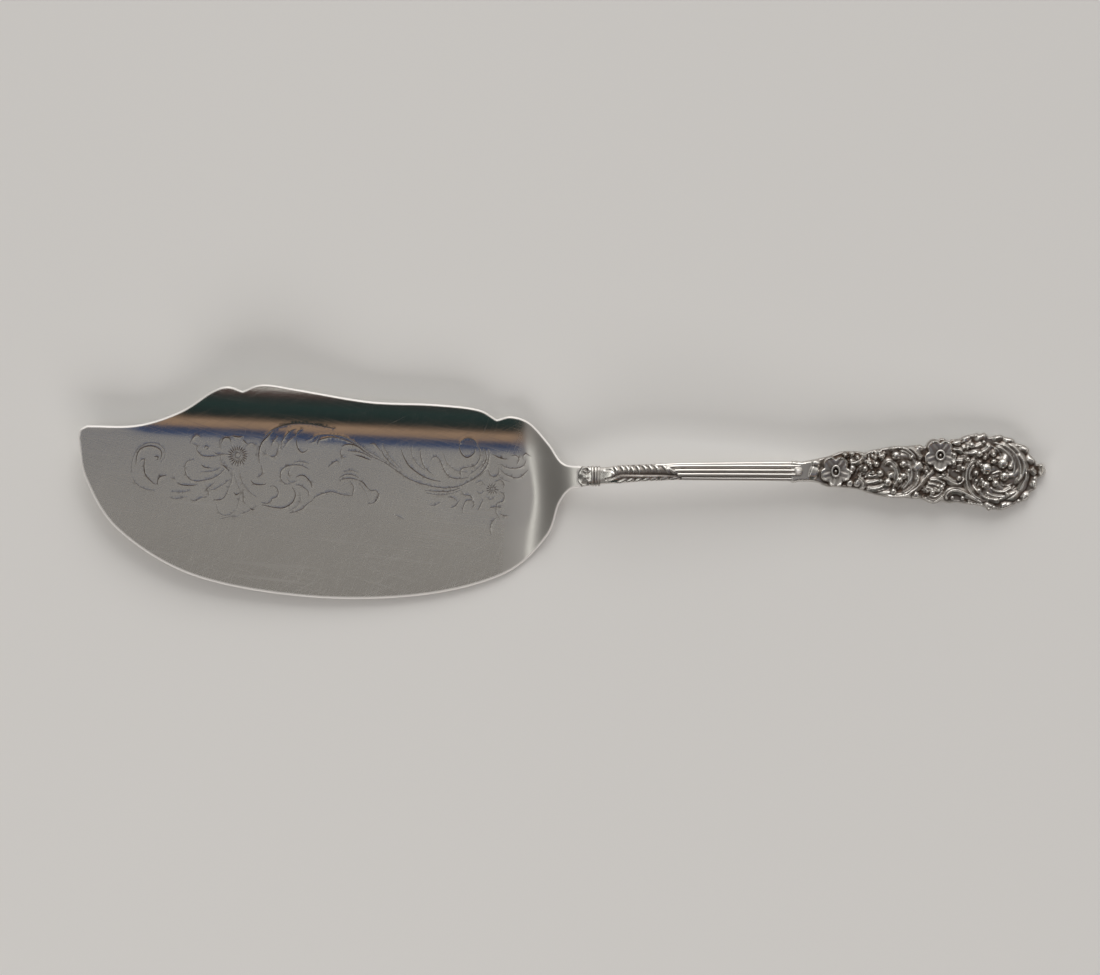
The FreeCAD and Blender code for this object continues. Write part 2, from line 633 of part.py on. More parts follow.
def make_plate():
    """Plate of the terminal with a bevelled front edge."""
    top = [on_terminal(*point) for point in TERMINAL_TOP]
    bottom = [on_terminal(*point) for point in TERMINAL_BOTTOM]
    back = Part.LineSegment(Vector(*bottom[-1], 0), Vector(*top[0], 0)).toShape()
    outline = document.addObject("Part::Feature", "TerminalOutline")
    outline.Shape = Part.Face(Part.Wire([smooth(top), smooth(bottom), back]))
    blank = document.addObject("Part::Extrusion", "TerminalBlank")
    blank.Base = outline
    blank.DirMode = "Custom"
    blank.Dir = Vector(0, 0, 1)
    blank.Solid = True
    bind(blank, {"LengthFwd": cell("terminal_plate")})
    document.recompute()
    plate = document.addObject("Part::Chamfer", "TerminalPlate")
    plate.Base = blank
    thickness = size("terminal_plate")
    bevelled = []
    for number, edge in enumerate(blank.Shape.Edges, start=1):
        level = edge.BoundBox.ZMin > thickness - 0.01
        if level and edge.BoundBox.XMax > size("terminal_length") / 2:
            bevelled.append((number, size("plate_bevel"), size("plate_bevel")))
    plate.Edges = bevelled
    plate.Placement = terminal_place()
    return plate


def make_relief():
    """Fingers, leaf tips, scroll rims and small leaves of the acanthus carving."""
    top = size("terminal_plate")
    height, root = size("relief_height"), size("relief_root")
    broad = size("terminal_width") / DRAWN_WIDTH
    groups = (
        ("Finger", FINGERS, FINGER, FINGER_HEIGHT - FINGER_CLIMB, FINGER_CLIMB * height, 0.0),
        ("EdgeTip", EDGE_TIPS, TIP, TIP_HEIGHT, 0.0, TIP_SUNK),
        ("ScrollRim", SCROLL_RIMS, RIM, RIM_HEIGHT, 0.0, 0.0),
        ("SmallLeaf", SMALL_LEAVES, LEAF, LEAF_HEIGHT, 0.0, 0.0),
    )
    reliefs = []
    for label, strokes, profile, tall, climb, sunk in groups:
        for number, (half_width, points) in enumerate(strokes, start=1):
            last = len(points) - 1
            line = []
            for place, point in enumerate(points):
                line.append((*on_terminal(*point), top - sunk + climb * place / last))
            stroke = document.addObject("Part::Feature", "%s%d" % (label, number))
            stroke.Shape = ridge(line, half_width * broad, height * tall, root, profile)
            stroke.Placement = terminal_place()
            reliefs.append(stroke)
    return reliefs


def make_round_parts():
    """Beads of the carving, the boss of the whirl and the knob at the terminal's root."""
    parts = []
    top = size("terminal_plate")
    height = BEAD_HEIGHT * size("relief_height")
    broad = size("terminal_width") / DRAWN_WIDTH
    for number, (radius, point) in enumerate(BEADS, start=1):
        bead = document.addObject("Part::Feature", "Bead%d" % number)
        bead.Shape = dome(radius * broad, height, size("relief_root"))
        bead.Placement = terminal_place(*on_terminal(*point), top)
        parts.append(bead)
    for name, long, broad, place, lift in (
        ("Boss", "boss_width", "boss_length", BOSS, 0.0),
        ("Knob", "knob_length", "knob_width", KNOB, KNOB_LIFT),
    ):
        egg = document.addObject("Part::Ellipsoid", name)
        bind(egg, {
            "Radius1": cell("relief_height"), "Radius2": cell(long) + " / 2", "Radius3": cell(broad) + " / 2",
        })
        egg.Placement = terminal_place(*on_terminal(*place), top + lift)
        parts.append(egg)
    return parts


def make_petals(name, point):
    """Petals of a blossom, in a ring round its centre."""
    petals = []
    for number in range(PETALS):
        turn = math.radians(PETAL_TURN + 360 * number / PETALS)
        reach = size("petal_reach")
        petal = document.addObject("Part::Prism", "%sPetal%d" % (name, number + 1))
        petal.Polygon = PETAL_SIDES
        bind(petal, {
            "Circumradius": cell("petal_radius"), "Height": "Sizes.petal_height + Sizes.relief_root",
        })
        place = terminal_place(*on_terminal(*point), size("terminal_plate") - size("relief_root"))
        away = Vector(reach * math.cos(turn), reach * math.sin(turn), 0)
        petal.Placement = place * FreeCAD.Placement(away, FreeCAD.Rotation())
        petals.append(petal)
    return petals


def make_heart(name, point):
    """Heart of a blossom: a round ring with a bead in it."""
    ring, wire, root = size("bloom_ring"), size("bloom_wire"), size("relief_root")
    floor = size("petal_height")
    levels = ((ring + wire, -root), (ring + wire, floor), (ring, floor + wire), (ring - wire, floor))
    heart = document.addObject("Part::Feature", name + "Heart")
    heart.Shape = turned(levels, HEART_SIDES)
    bead = document.addObject("Part::Feature", name + "Bead")
    bead.Shape = dome(size("bloom_bead"), floor + wire, root)
    for part in (heart, bead):
        part.Placement = terminal_place(*on_terminal(*point), size("terminal_plate"))
    return [heart, bead]


def check(thing):
    """Stop on a failed object."""
    if "Invalid" in thing.State or "Error" in thing.State:
        raise SystemExit("%s failed: %s" % (thing.Name, thing.State))


def joined(name, pieces):
    """One solid from pieces that overlap."""
    document.recompute()
    for thing in document.Objects:
        check(thing)
    union = document.addObject("Part::MultiFuse", name)
    union.Shapes = pieces
    document.recompute()
    check(union)
    shape = union.Shape
    if shape.isNull() or not shape.isValid() or len(shape.Solids) != 1:
        raise SystemExit("%s is not one valid solid: %d solids" % (name, len(shape.Solids)))
    return union


def main():
    """Build every part of the server, join them and write the one solid."""
    fill_sheet()
    handle = joined("Handle", [make_core()] + make_rings() + make_reeds() + make_veins() + make_volutes())
    carving = make_relief() + make_round_parts()
    for name, point in BLOSSOMS:
        carving += make_petals(name, point) + make_heart(name, point)
    terminal = joined("Terminal", [make_plate()] + carving)
    server = joined("FishServer", [make_blade(), handle, terminal])
    server.Label = "fish_server"
    box = server.Shape.optimalBoundingBox(False)
    middle = Vector((box.XMin + box.XMax) / 2, (box.YMin + box.YMax) / 2, box.ZMin)
    server.Placement = FreeCAD.Placement(middle * -1, FreeCAD.Rotation())
    document.recompute()
    check(server)
    os.makedirs("parts", exist_ok=True)
    server.Shape.exportStep("parts/%s.step" % server.Label)
    print("%s: %.1f mm3, box %s" % (server.Label, server.Shape.Volume, server.Shape.BoundBox))


main()
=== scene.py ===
"""Silver fish server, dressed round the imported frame.

The blade, the stem and the carved end are closed meshes that meet inside one another, as the one solid does.
Lengths are millimetres from the neck until a mesh is finished, and metres in the frame from then on.
The ornament is drawn on a sheet of its own. Drawing names its unit and the neck's place on it.
"""

from __future__ import annotations

import logging
import math
from dataclasses import dataclass
from enum import Enum
from typing import Sequence, Union

import bpy
import numpy as np
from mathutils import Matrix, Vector
from mathutils.geometry import delaunay_2d_cdt

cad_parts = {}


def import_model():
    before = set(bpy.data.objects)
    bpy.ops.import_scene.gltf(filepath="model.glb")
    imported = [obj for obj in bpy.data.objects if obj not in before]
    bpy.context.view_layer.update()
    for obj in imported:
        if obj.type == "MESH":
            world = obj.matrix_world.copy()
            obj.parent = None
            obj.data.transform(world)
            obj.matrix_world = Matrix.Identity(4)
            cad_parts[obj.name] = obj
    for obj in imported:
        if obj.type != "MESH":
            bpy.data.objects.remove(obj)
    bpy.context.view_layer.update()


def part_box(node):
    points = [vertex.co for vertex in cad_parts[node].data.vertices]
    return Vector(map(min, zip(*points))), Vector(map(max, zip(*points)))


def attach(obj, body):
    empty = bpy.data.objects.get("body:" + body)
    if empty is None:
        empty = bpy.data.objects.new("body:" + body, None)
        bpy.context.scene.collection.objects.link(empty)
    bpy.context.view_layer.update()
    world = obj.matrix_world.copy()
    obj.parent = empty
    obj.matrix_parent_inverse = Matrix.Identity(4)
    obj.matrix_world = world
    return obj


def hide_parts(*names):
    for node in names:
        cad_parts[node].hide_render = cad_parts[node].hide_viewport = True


LOG = logging.getLogger("fish_server")
METRES = 0.001
NODE = "fish_server"
BODY = "root"

# Parts of each span of a smooth line, places measured at one time, and lengths that count as none
SPAN_PARTS = 12
BLOCK = 4000
MERGED = 1e-7
TINY = 1e-9

# How satin the rings, reeds, beads and wires are
WIRE_BRUSHING = 0.7

Point = tuple[float, float]
Line = Sequence[Point]
Side = tuple[np.ndarray, np.ndarray, np.ndarray]
Feed = Union[bool, float, str, Sequence[float], bpy.types.ID, bpy.types.NodeSocket]


@dataclass(frozen=True)
class Drawing:
    """Sheet for the ornament: its unit in millimetres, the neck's place and the blade's reach from it."""

    unit: float = 0.302
    neck: Point = (578.0, 471.3)
    tip_reach: float = 150.7
    belly_reach: float = 38.51

    def place(self, points: Line) -> np.ndarray:
        """Points of the sheet in millimetres from the neck.

        Args:
            points: places on the sheet, whose second number grows downwards.

        Returns:
            One row of x and y for each point.
        """
        rows = np.array(points, float)
        return np.column_stack([(rows[:, 0] - self.neck[0]), (self.neck[1] - rows[:, 1])]) * self.unit


SHEET = Drawing()


def smooth_line(rows: np.ndarray, spacing: float, closed: bool = False) -> np.ndarray:
    """Smooth curve through points, with evenly spaced rows.

    Args:
        rows: points that the curve passes through.
        spacing: distance from one row of the result to the next.
        closed: whether the curve comes back to its start.

    Returns:
        Rows along the curve. A closed one doesn't repeat its first row.
    """
    count = len(rows)
    if closed:
        padded = np.vstack([rows[-1], rows, rows[0], rows[1]])
        spans = count
    else:
        padded = np.vstack([2 * rows[0] - rows[1], rows, 2 * rows[-1] - rows[-2]])
        spans = count - 1
    share = np.linspace(0, 1, SPAN_PARTS, endpoint=False)[:, None]
    pieces = []
    for span in range(spans):
        before, start, end, after = padded[span:span + 4]
        pieces.append(0.5 * (
            2 * start + (end - before) * share + (2 * before - 5 * start + 4 * end - after) * share ** 2
            + (3 * start - before - 3 * end + after) * share ** 3
        ))
    dense = np.vstack(pieces + [rows[:1] if closed else rows[-1:]])
    steps = np.linalg.norm(np.diff(dense, axis=0), axis=1)
    along = np.concatenate([[0], np.cumsum(steps)])
    number = max(2, int(round(along[-1] / spacing)) + 1)
    marks = np.linspace(0, along[-1], number)
    even = np.column_stack([np.interp(marks, along, dense[:, axis]) for axis in range(dense.shape[1])])
    return even[:-1] if closed else even


def nearest(line: np.ndarray, places: np.ndarray, closed: bool = False) -> tuple[np.ndarray, np.ndarray]:
    """Distance from each place to a line, and how far along the line its nearest point lies.

    Args:
        line: rows of the line.
        places: rows of x and y.
        closed: whether the line comes back to its start.

    Returns:
        Distances, and shares of the line's length from 0 to 1.
    """
    starts = line if closed else line[:-1]
    ends = np.roll(line, -1, axis=0) if closed else line[1:]
    runs = ends - starts
    lengths = np.maximum(np.linalg.norm(runs, axis=1), TINY)
    before = np.concatenate([[0], np.cumsum(lengths)[:-1]])
    total = lengths.sum()
    distance = np.empty(len(places))
    share = np.empty(len(places))
    for first in range(0, len(places), BLOCK):
        block = places[first:first + BLOCK]
        across = block[:, None, :] - starts[None]
        reach = np.clip((across * runs).sum(2) / lengths ** 2, 0, 1)
        gap = np.linalg.norm(across - reach[..., None] * runs, axis=2)
        best = gap.argmin(1)
        rows = np.arange(len(block))
        distance[first:first + BLOCK] = gap[rows, best]
        share[first:first + BLOCK] = (before[best] + reach[rows, best] * lengths[best]) / total
    return distance, share


def inside(outline: np.ndarray, places: np.ndarray) -> np.ndarray:
    """Which places lie inside a closed outline.

    Args:
        outline: rows of the outline.
        places: rows of x and y.

    Returns:
        True for each place inside.
    """
    within = np.zeros(len(places), bool)
    ends = np.roll(outline, -1, axis=0)
    for (left, low), (right, high) in zip(outline, ends):
        if low == high:
            continue
        level = (places[:, 1] >= min(low, high)) & (places[:, 1] < max(low, high))
        crossing = left + (places[:, 1] - low) * (right - left) / (high - low)
        within ^= level & (places[:, 0] < crossing)
    return within


def honeycomb(outline: np.ndarray, spacing: float, margin: float) -> np.ndarray:
    """Evenly spread places inside an outline.

    Args:
        outline: rows of the outline.
        spacing: distance between neighbours.
        margin: least distance to the outline.

    Returns:
        Rows of x and y.
    """
    low, high = outline.min(0), outline.max(0)
    rise = spacing * math.sqrt(3) / 2
    rows = []
    for number, level in enumerate(np.arange(low[1], high[1], rise)):
        across = np.arange(low[0] + (number % 2) * spacing / 2, high[0], spacing)
        rows.append(np.column_stack([across, np.full(len(across), level)]))
    places = np.vstack(rows)
    places = places[inside(outline, places)]
    distance, _ = nearest(outline, places, closed=True)
    return places[distance > margin]


def thinned(places: np.ndarray, spacing: float) -> np.ndarray:
    """Places with at most one in each small cell.

    Args:
        places: rows of x and y, the most important first.
        spacing: size of a cell.

    Returns:
        The rows that stay.
    """
    cells = np.round(places / spacing).astype(int)
    _, first = np.unique(cells, axis=0, return_index=True)
    return places[np.sort(first)]


def triangles_between(outline: np.ndarray, places: np.ndarray) -> tuple[np.ndarray, np.ndarray]:
    """Triangles over the inside of an outline.

    Args:
        outline: rows of the outline, which keep the first numbers.
        places: rows inside it.

    Returns:
        Rows of all corners and rows of three corner numbers, turned anticlockwise.
    """
    corners = [Vector(row) for row in np.vstack([outline, places])]
    result = delaunay_2d_cdt(corners, [], [list(range(len(outline)))], 1, MERGED)
    flat = np.array([tuple(corner) for corner in result[0]])
    faces = np.array([list(face) for face in result[2]])
    first, second, third = flat[faces[:, 0]], flat[faces[:, 1]], flat[faces[:, 2]]
    turn = (second[:, 0] - first[:, 0]) * (third[:, 1] - first[:, 1])
    turn -= (second[:, 1] - first[:, 1]) * (third[:, 0] - first[:, 0])
    faces[turn < 0] = faces[turn < 0][:, ::-1]
    return flat, faces


def settled(flat: np.ndarray, faces: np.ndarray, height: np.ndarray, rounds: int) -> np.ndarray:
    """Heights evened out over neighbours, to tell hollows from crests.

    Args:
        flat: rows of x and y.
        faces: rows of three corner numbers.
        height: height of each corner.
        rounds: how often each corner takes the mean of its neighbours.

    Returns:
        The evened heights.
    """
    pairs = np.vstack([faces[:, [0, 1]], faces[:, [1, 2]], faces[:, [2, 0]]])
    pairs = np.vstack([pairs, pairs[:, ::-1]])
    links = np.bincount(pairs[:, 0], minlength=len(flat))
    level = height.copy()
    for _ in range(rounds):
        total = np.bincount(pairs[:, 0], weights=level[pairs[:, 1]], minlength=len(flat))
        level = 0.5 * level + 0.5 * total / np.maximum(links, 1)
    return level


def left_of(course: np.ndarray) -> np.ndarray:
    """Unit directions to the left of each row of a course."""
    course = course / np.maximum(np.linalg.norm(course, axis=1), TINY)[:, None]
    return np.column_stack([-course[:, 1], course[:, 0]])


def rounded(edge: np.ndarray, width: float) -> np.ndarray:
    """Rise of a quarter round, from 0 at an edge to 1 at a width from it."""
    return np.sqrt(np.clip(1 - np.clip(1 - edge / width, 0, 1) ** 2, 0, 1))


def closed_shell(outline: np.ndarray, front: Side, back: Side) -> tuple[np.ndarray, list[np.ndarray]]:
    """Closed mesh of a front and a back that share an outline.

    Args:
        outline: rows of the outline, which both sides number first.
        front: places, faces and heights of the upper side.
        back: the same of the lower side.

    Returns:
        Rows of x, y and z, and the corner numbers of each face.
    """
    flat, faces, top = front
    low_flat, low_faces, low = back
    count = len(flat)
    corners = np.vstack([np.column_stack([flat, top]), np.column_stack([low_flat, low])])
    ring = np.arange(len(outline))
    after = np.roll(ring, -1)
    wall = np.column_stack([ring, ring + count, after + count, after])
    return corners, list(faces) + list(low_faces[:, ::-1] + count) + list(wall)


def write_layer(mesh: bpy.types.Mesh, key: str, values: np.ndarray) -> None:
    """Store a number, or a row of three, at each corner of a mesh."""
    kind, field = ("FLOAT", "value") if values.ndim == 1 else ("FLOAT_VECTOR", "vector")
    layer = mesh.attributes.new(key, kind, "POINT")
    layer.data.foreach_set(field, values.astype(np.float32).ravel())


def put_in_scene(name: str, data: bpy.types.ID) -> bpy.types.Object:
    """Object with the given data, linked to the scene."""
    item = bpy.data.objects.new(name, data)
    bpy.context.scene.collection.objects.link(item)
    return item


def opaque(colour: Sequence[float]) -> tuple[float, ...]:
    """Colour that nothing shows through."""
    return (*colour, 1.0)


class Wiring:
    """Node tree whose nodes are each added with what feeds their inputs."""

    def __init__(self, tree: bpy.types.NodeTree) -> None:
        """Keep the tree that the nodes go into."""
        self.tree = tree

    def feed(self, target: bpy.types.NodeSocket, value: Feed) -> None:
        """Link an input to a socket, or set its value."""
        if isinstance(value, bpy.types.NodeSocket):
            self.tree.links.new(value, target)
        else:
            target.default_value = value

    def add(self, kind: str, inputs: dict | None = None, **settings: object) -> bpy.types.Node:
        """Add a node.

        Args:
            kind: type of the node.
            inputs: for each input, its value or the socket that feeds it.
            settings: properties of the node.

        Returns:
            The node.
        """
        node = self.tree.nodes.new(kind)
        for key, value in settings.items():
            setattr(node, key, value)
        for key, value in (inputs or {}).items():
            self.feed(node.inputs[key], value)
        return node

    def sum_of(self, operation: str, *values: Feed, clamp: bool = False) -> bpy.types.NodeSocket:
        """Result of a sum on numbers and sockets."""
        node = self.add("ShaderNodeMath", dict(enumerate(values)), operation=operation, use_clamp=clamp)
        return node.outputs[0]

    def mapped(self, value: Feed, source: Point, target: Point = (0.0, 1.0)) -> bpy.types.NodeSocket:
        """Value moved from one range to another, and kept within it."""
        inputs = {"Value": value, "From Min": source[0], "From Max": source[1]}
        inputs |= {"To Min": target[0], "To Max": target[1]}
        return self.add("ShaderNodeMapRange", inputs).outputs["Result"]

    def blend(self, share: Feed, first: Feed, second: Feed, kind: str = "MIX") -> bpy.types.NodeSocket:
        """Colour between two colours, by a share."""
        inputs = {0: share, 6: first, 7: second}
        return self.add("ShaderNodeMix", inputs, data_type="RGBA", blend_type=kind).outputs[2]

    def read(self, key: str) -> bpy.types.NodeSocket:
        """Number that the mesh of a material holds under a name."""
        return self.add("ShaderNodeAttribute", attribute_name=key).outputs["Fac"]


def new_material(name: str) -> tuple[bpy.types.Material, Wiring, bpy.types.NodeInputs]:
    """New material, its wiring and the inputs of its shader."""
    material = bpy.data.materials.new(name)
    material.use_nodes = True
    return material, Wiring(material.node_tree), material.node_tree.nodes["Principled BSDF"].inputs


class StrokeKind(Enum):
    """Course of a raised stroke: places along it, with the share of its width and of its height at each."""

    FINGER = ((0.0, 0.4, 0.8, 0.94, 1.0), (0.3, 0.62, 0.95, 0.9, 0.5), (0.2, 0.52, 0.8, 0.82, 0.7))
    TIP = ((0.0, 0.45, 0.8, 1.0), (0.6, 1.0, 0.8, 0.4), (0.5, 0.85, 0.9, 0.6))
    RIM = ((0.0, 0.12, 0.88, 1.0), (0.7, 1.0, 1.0, 0.7), (0.5, 1.0, 1.0, 0.6))
    LEAF = ((0.0, 0.35, 0.65, 1.0), (0.2, 1.0, 0.85, 0.1), (0.4, 0.9, 0.9, 0.3))
    VEIN = ((0.0, 0.3, 0.75, 1.0), (0.6, 1.0, 1.0, 0.5), (0.3, 1.0, 1.0, 0.3))

    def width(self, share: np.ndarray) -> np.ndarray:
        """Share of the width at each place."""
        return np.interp(share, self.value[0], self.value[1])

    def height(self, share: np.ndarray) -> np.ndarray:
        """Share of the height at each place."""
        return np.interp(share, self.value[0], self.value[2])


@dataclass(frozen=True)
class Stroke:
    """A raised stroke of the carving, in millimetres. Its foot, hem and tip are shares of its half width."""

    kind: StrokeKind
    half_width: float
    height: float
    points: Line
    foot: float = 0.1
    foot_share: float = 0.58
    foot_bluntness: float = 0.7
    bluntness: float = 0.62
    leaf_bluntness: float = 0.3
    hem_place: float = 1.3
    hem_width: float = 0.22
    hem_height: float = 0.4
    hem_end: float = 0.82
    hem_fade: float = 8.0
    tip_size: float = 1.2
    search: float = 3.0

    def line(self) -> np.ndarray:
        """Smooth middle line of the stroke."""
        return smooth_line(np.array(self.points, float), 0.25)

    def raise_on(self, places: np.ndarray, level: np.ndarray, floor: float) -> None:
        """Raise a surface to this stroke, where the stroke is higher.

        Args:
            places: rows of x and y.
            level: height at each place, which this changes.
            floor: height of the ground from which the stroke rises.
        """
        line = self.line()
        low = line.min(0) - self.search * self.half_width
        high = line.max(0) + self.search * self.half_width
        near = np.flatnonzero(((places > low) & (places < high)).all(1))
        if not len(near):
            return
        distance, share = nearest(line, places[near])
        reach = self.half_width * self.kind.width(share)
        bluntness = self.leaf_bluntness if self.kind is StrokeKind.LEAF else self.bluntness
        section = np.clip(1 - (distance / reach) ** 2, 0, None) ** bluntness
        crest = self.height * self.kind.height(share) - floor
        foot = np.clip(1 - (distance / (self.foot * reach)) ** 2, 0, None) ** self.foot_bluntness
        top = floor + np.maximum(crest * section, self.foot_share * crest * foot)
        raised = distance < max(1.0, self.foot) * reach
        level[near[raised]] = np.maximum(level[near[raised]], top[raised])
        if self.kind is StrokeKind.FINGER:
            self.raise_end(places, level, floor, near, distance / reach, share)

    def raise_end(
        self, places: np.ndarray, level: np.ndarray, floor: float, near: np.ndarray, across: np.ndarray,
        share: np.ndarray,
    ) -> None:
        """Raise the round tip of a finger and the low hems beside its body.

        Args:
            places: rows of x and y.
            level: height at each place, which this changes.
            floor: height of the ground from which the stroke rises.
            near: numbers of the places near the stroke.
            across: distance from the middle line as a share of the half width there.
            share: share of the length at each near place.
        """
        rise = self.height - floor
        hem = np.exp(-((across - self.hem_place) / self.hem_width) ** 2)
        hem *= np.clip((self.hem_end - share) * self.hem_fade, 0, 1)
        hem *= np.clip(share * self.hem_fade, 0, 1)
        level[near] = np.maximum(level[near], floor + rise * self.hem_height * hem)
        away = np.hypot(*(places[near] - np.array(self.points[-1])).T) / (self.tip_size * self.half_width)
        bulb = floor + rise * np.sqrt(np.clip(1 - away ** 2, 0, 1))
        level[near] = np.maximum(level[near], np.where(away < 1, bulb, floor))


@dataclass(frozen=True)
class Cut:
    """An engraved line of the blade, drawn on the sheet."""

    points: Line
    width: float
    depth: float
    spacing: float = 0.35

    def line(self) -> np.ndarray:
        """Smooth middle line of the cut in millimetres."""
        return smooth_line(SHEET.place(self.points), self.spacing)


# Width and depth of the engraved lines, in millimetres
STRONG = (0.38, 0.055)
PLAIN = (0.31, 0.045)
FAINT = (0.26, 0.028)


def cuts(weight: tuple[float, float], lines: Sequence[Line]) -> list[Cut]:
    """Cuts of one weight.

    Args:
        weight: width and depth.
        lines: points of each cut on the sheet.

    Returns:
        One cut for each line.
    """
    return [Cut(line, *weight) for line in lines]


SCROLL_AT_TIP = cuts(STRONG, (
    ((136.5, 465), (137, 457), (140, 450), (145, 447), (151, 446), (157, 447.5), (161, 450.5),
     (162, 455), (160.5, 459.5)),
    ((155, 456.5), (158.5, 457), (158, 459)),
    ((145.5, 458), (144.5, 464), (144.5, 469), (146, 475), (150, 480), (155.5, 484.5)),
    ((157.5, 483), (158.5, 479), (161, 476.5), (165, 475.5)),
    ((178, 483), (182, 485), (190, 485.7), (196, 485)),
)) + cuts(PLAIN, (
    ((141, 461), (143, 459), (146, 460)),
    ((192, 460), (188, 461), (185.5, 464), (185, 470), (187, 476), (191, 480), (197, 481.5),
     (204, 480.5), (212, 478.5), (219, 474.5), (224, 469.5)),
)) + cuts(FAINT, (
    ((132, 470), (133, 460), (137, 451), (143, 445.5), (151, 443), (160, 445), (165, 451), (165, 457),
     (162, 461)),
    ((171, 478), (176, 479.5)),
    ((172, 492), (182, 492.5), (189, 491)),
    ((170, 497), (174, 499), (180, 498.5), (186, 497)),
))
LEAVES_AT_FLOWER = cuts(STRONG, (
    ((201.5, 465), (205, 467.5), (210, 468)),
    ((222, 465), (225, 467), (228, 470)),
    ((215, 500), (219, 500), (222, 499)),
    ((234, 493), (236, 495), (239, 493)),
    ((250, 508), (252, 510), (254, 509.5)),
)) + cuts(PLAIN, (
    ((190.5, 442), (193, 438), (197, 435), (200, 437)),
    ((193, 444), (197, 446), (197, 450), (200, 454), (204, 456.5), (212, 456.5), (220, 455.5)),
    ((204, 448), (206, 446), (208.5, 447.5), (207, 449.5)),
    ((215, 453), (218, 454.5), (225, 454)),
    ((214, 483), (207, 489), (208, 492), (209, 497)),
    ((228, 490), (225, 496), (222, 499)),
    ((191, 500), (195, 501), (199, 499), (205, 497)),
    ((243, 491), (243, 500), (245, 504)),
)) + cuts(FAINT, (
    ((202, 472), (212, 471.5), (220, 468.5)),
))
LARGE_FLOWER = cuts(STRONG, (
    ((221, 443), (224, 438), (229, 438), (231, 442)),
    ((232, 436), (238, 437), (242, 436.5)),
    ((243, 440), (246, 443)),
))
MIDDLE_SCROLLS = cuts(STRONG, (
    ((259, 463), (258.5, 455), (259.5, 448), (262, 442), (267, 437), (272, 432)),
    ((296, 440), (297, 447), (300, 451.5), (303, 452.3), (306.5, 450.5)),
    ((317, 444), (319, 440), (325, 438), (331, 437), (338, 438)),
    ((342, 446), (346, 444.5), (352, 444.5), (358, 447), (364, 452)),
    ((355, 455), (362, 457), (370, 460)),
    ((296, 477), (300, 475.5), (304, 476), (308, 479.5), (311, 484), (311.5, 488)),
    ((292, 487), (295, 494), (293, 501), (289, 505), (283, 508), (276, 508), (268, 506.5), (262, 505)),
    ((251, 481), (254, 484), (259, 485), (264, 484.5)),
)) + cuts(PLAIN, (
    ((269.5, 456), (272, 457), (275, 456), (276.5, 453), (278, 448)),
    ((271, 446), (273, 441), (277, 437)),
    ((281, 447), (282, 441), (285, 436), (290, 431), (295, 429)),
    ((295, 437), (297, 432), (301, 429)),
    ((338, 438), (344, 440), (352, 443), (360, 448), (368, 454), (376, 459)),
    ((348, 451), (356, 451.5), (364, 454), (372, 458)),
    ((341, 449), (340, 453), (342, 457), (344, 458)),
    ((370, 444), (374, 444), (378, 448), (380, 451)),
    ((328, 467), (331, 464), (334, 462), (337, 461), (339, 463.5)),
    ((290, 484), (285, 484), (281, 480), (280, 475), (281, 470.5), (285, 467), (290, 465.5), (296, 465),
     (302, 466), (308, 469)),
    ((289, 470), (288, 474), (290, 478)),
    ((297, 485), (301, 486), (305, 489), (308, 492), (308.5, 497)),
    ((262, 503), (266, 504), (270, 502), (272, 499), (276, 497), (278, 493), (277, 489), (273, 486),
     (270, 486.5)),
    ((261, 466), (262, 471), (261, 475), (258, 477)),
)) + cuts(FAINT, (
    ((257, 460), (256.5, 450)),
    ((306, 441), (312, 438), (318, 435), (330, 434.5), (345, 437), (356, 443), (366, 450), (376, 456),
     (385, 461)),
))
LONG_TENDRILS = cuts(STRONG, (
    ((359, 480.5), (363, 483), (367, 488)),
    ((401, 450), (404, 458), (409, 466), (416, 472), (424, 477), (432, 480), (440, 481.5)),
)) + cuts(PLAIN, (
    ((311, 502), (314, 498), (319, 495), (325, 493), (331, 492), (337, 493.5), (343, 495), (352, 496)),
    ((289, 513), (295, 512), (302, 509), (306, 505), (311, 501)),
    ((341, 480), (347, 478.5), (353, 479), (359, 480.5)),
    ((367, 488), (371, 491), (375, 490.5), (378, 494), (377, 499), (373, 503), (367, 504)),
    ((340, 477), (346, 474.5), (352, 475), (357, 477)),
    ((350, 482), (353, 487), (352, 496)),
    ((375, 458), (385, 463), (395, 470), (405, 477), (413, 481), (425, 485), (440, 488), (450, 488),
     (460, 486), (470, 481), (478, 477), (485, 471)),
    ((425, 490.5), (435, 491.5), (445, 491.7), (452, 491), (460, 488)),
    ((420, 450), (420.5, 457), (423, 465), (428, 471), (433, 475)),
    ((381, 450), (384, 456), (390, 463), (396, 468)),
))
LEAVES_AT_HEEL = cuts(STRONG, (
    ((459, 447), (461, 453), (465, 457), (469, 457), (474, 453), (475, 449)),
    ((494, 455), (499, 457.5), (504, 459), (507, 459)),
)) + cuts(PLAIN, (
    ((431, 460), (432, 458), (435, 456.5), (438, 458), (440, 461), (443, 468), (447, 475), (452, 478),
     (460, 479), (468, 477.5)),
    ((468, 467), (474, 466), (479, 460), (480, 453), (479, 448)),
    ((461, 476), (460, 471), (463, 468), (467, 467.5)),
    ((488, 450), (489, 455), (487, 465), (480, 474), (470, 481)),
    ((485, 450), (486, 460), (480, 470)),
    ((511, 456), (516, 455.5), (519, 459), (517, 463.5)),
    ((523, 459), (523, 456), (526, 453.5), (530, 456)),
    ((526, 460), (524, 465), (518, 468), (508, 468), (500, 464)),
    ((500, 469), (505, 474), (512, 477), (518, 478), (523, 475), (528, 470)),
    ((488, 470), (490, 475), (494, 477), (498, 474), (499, 469)),
))
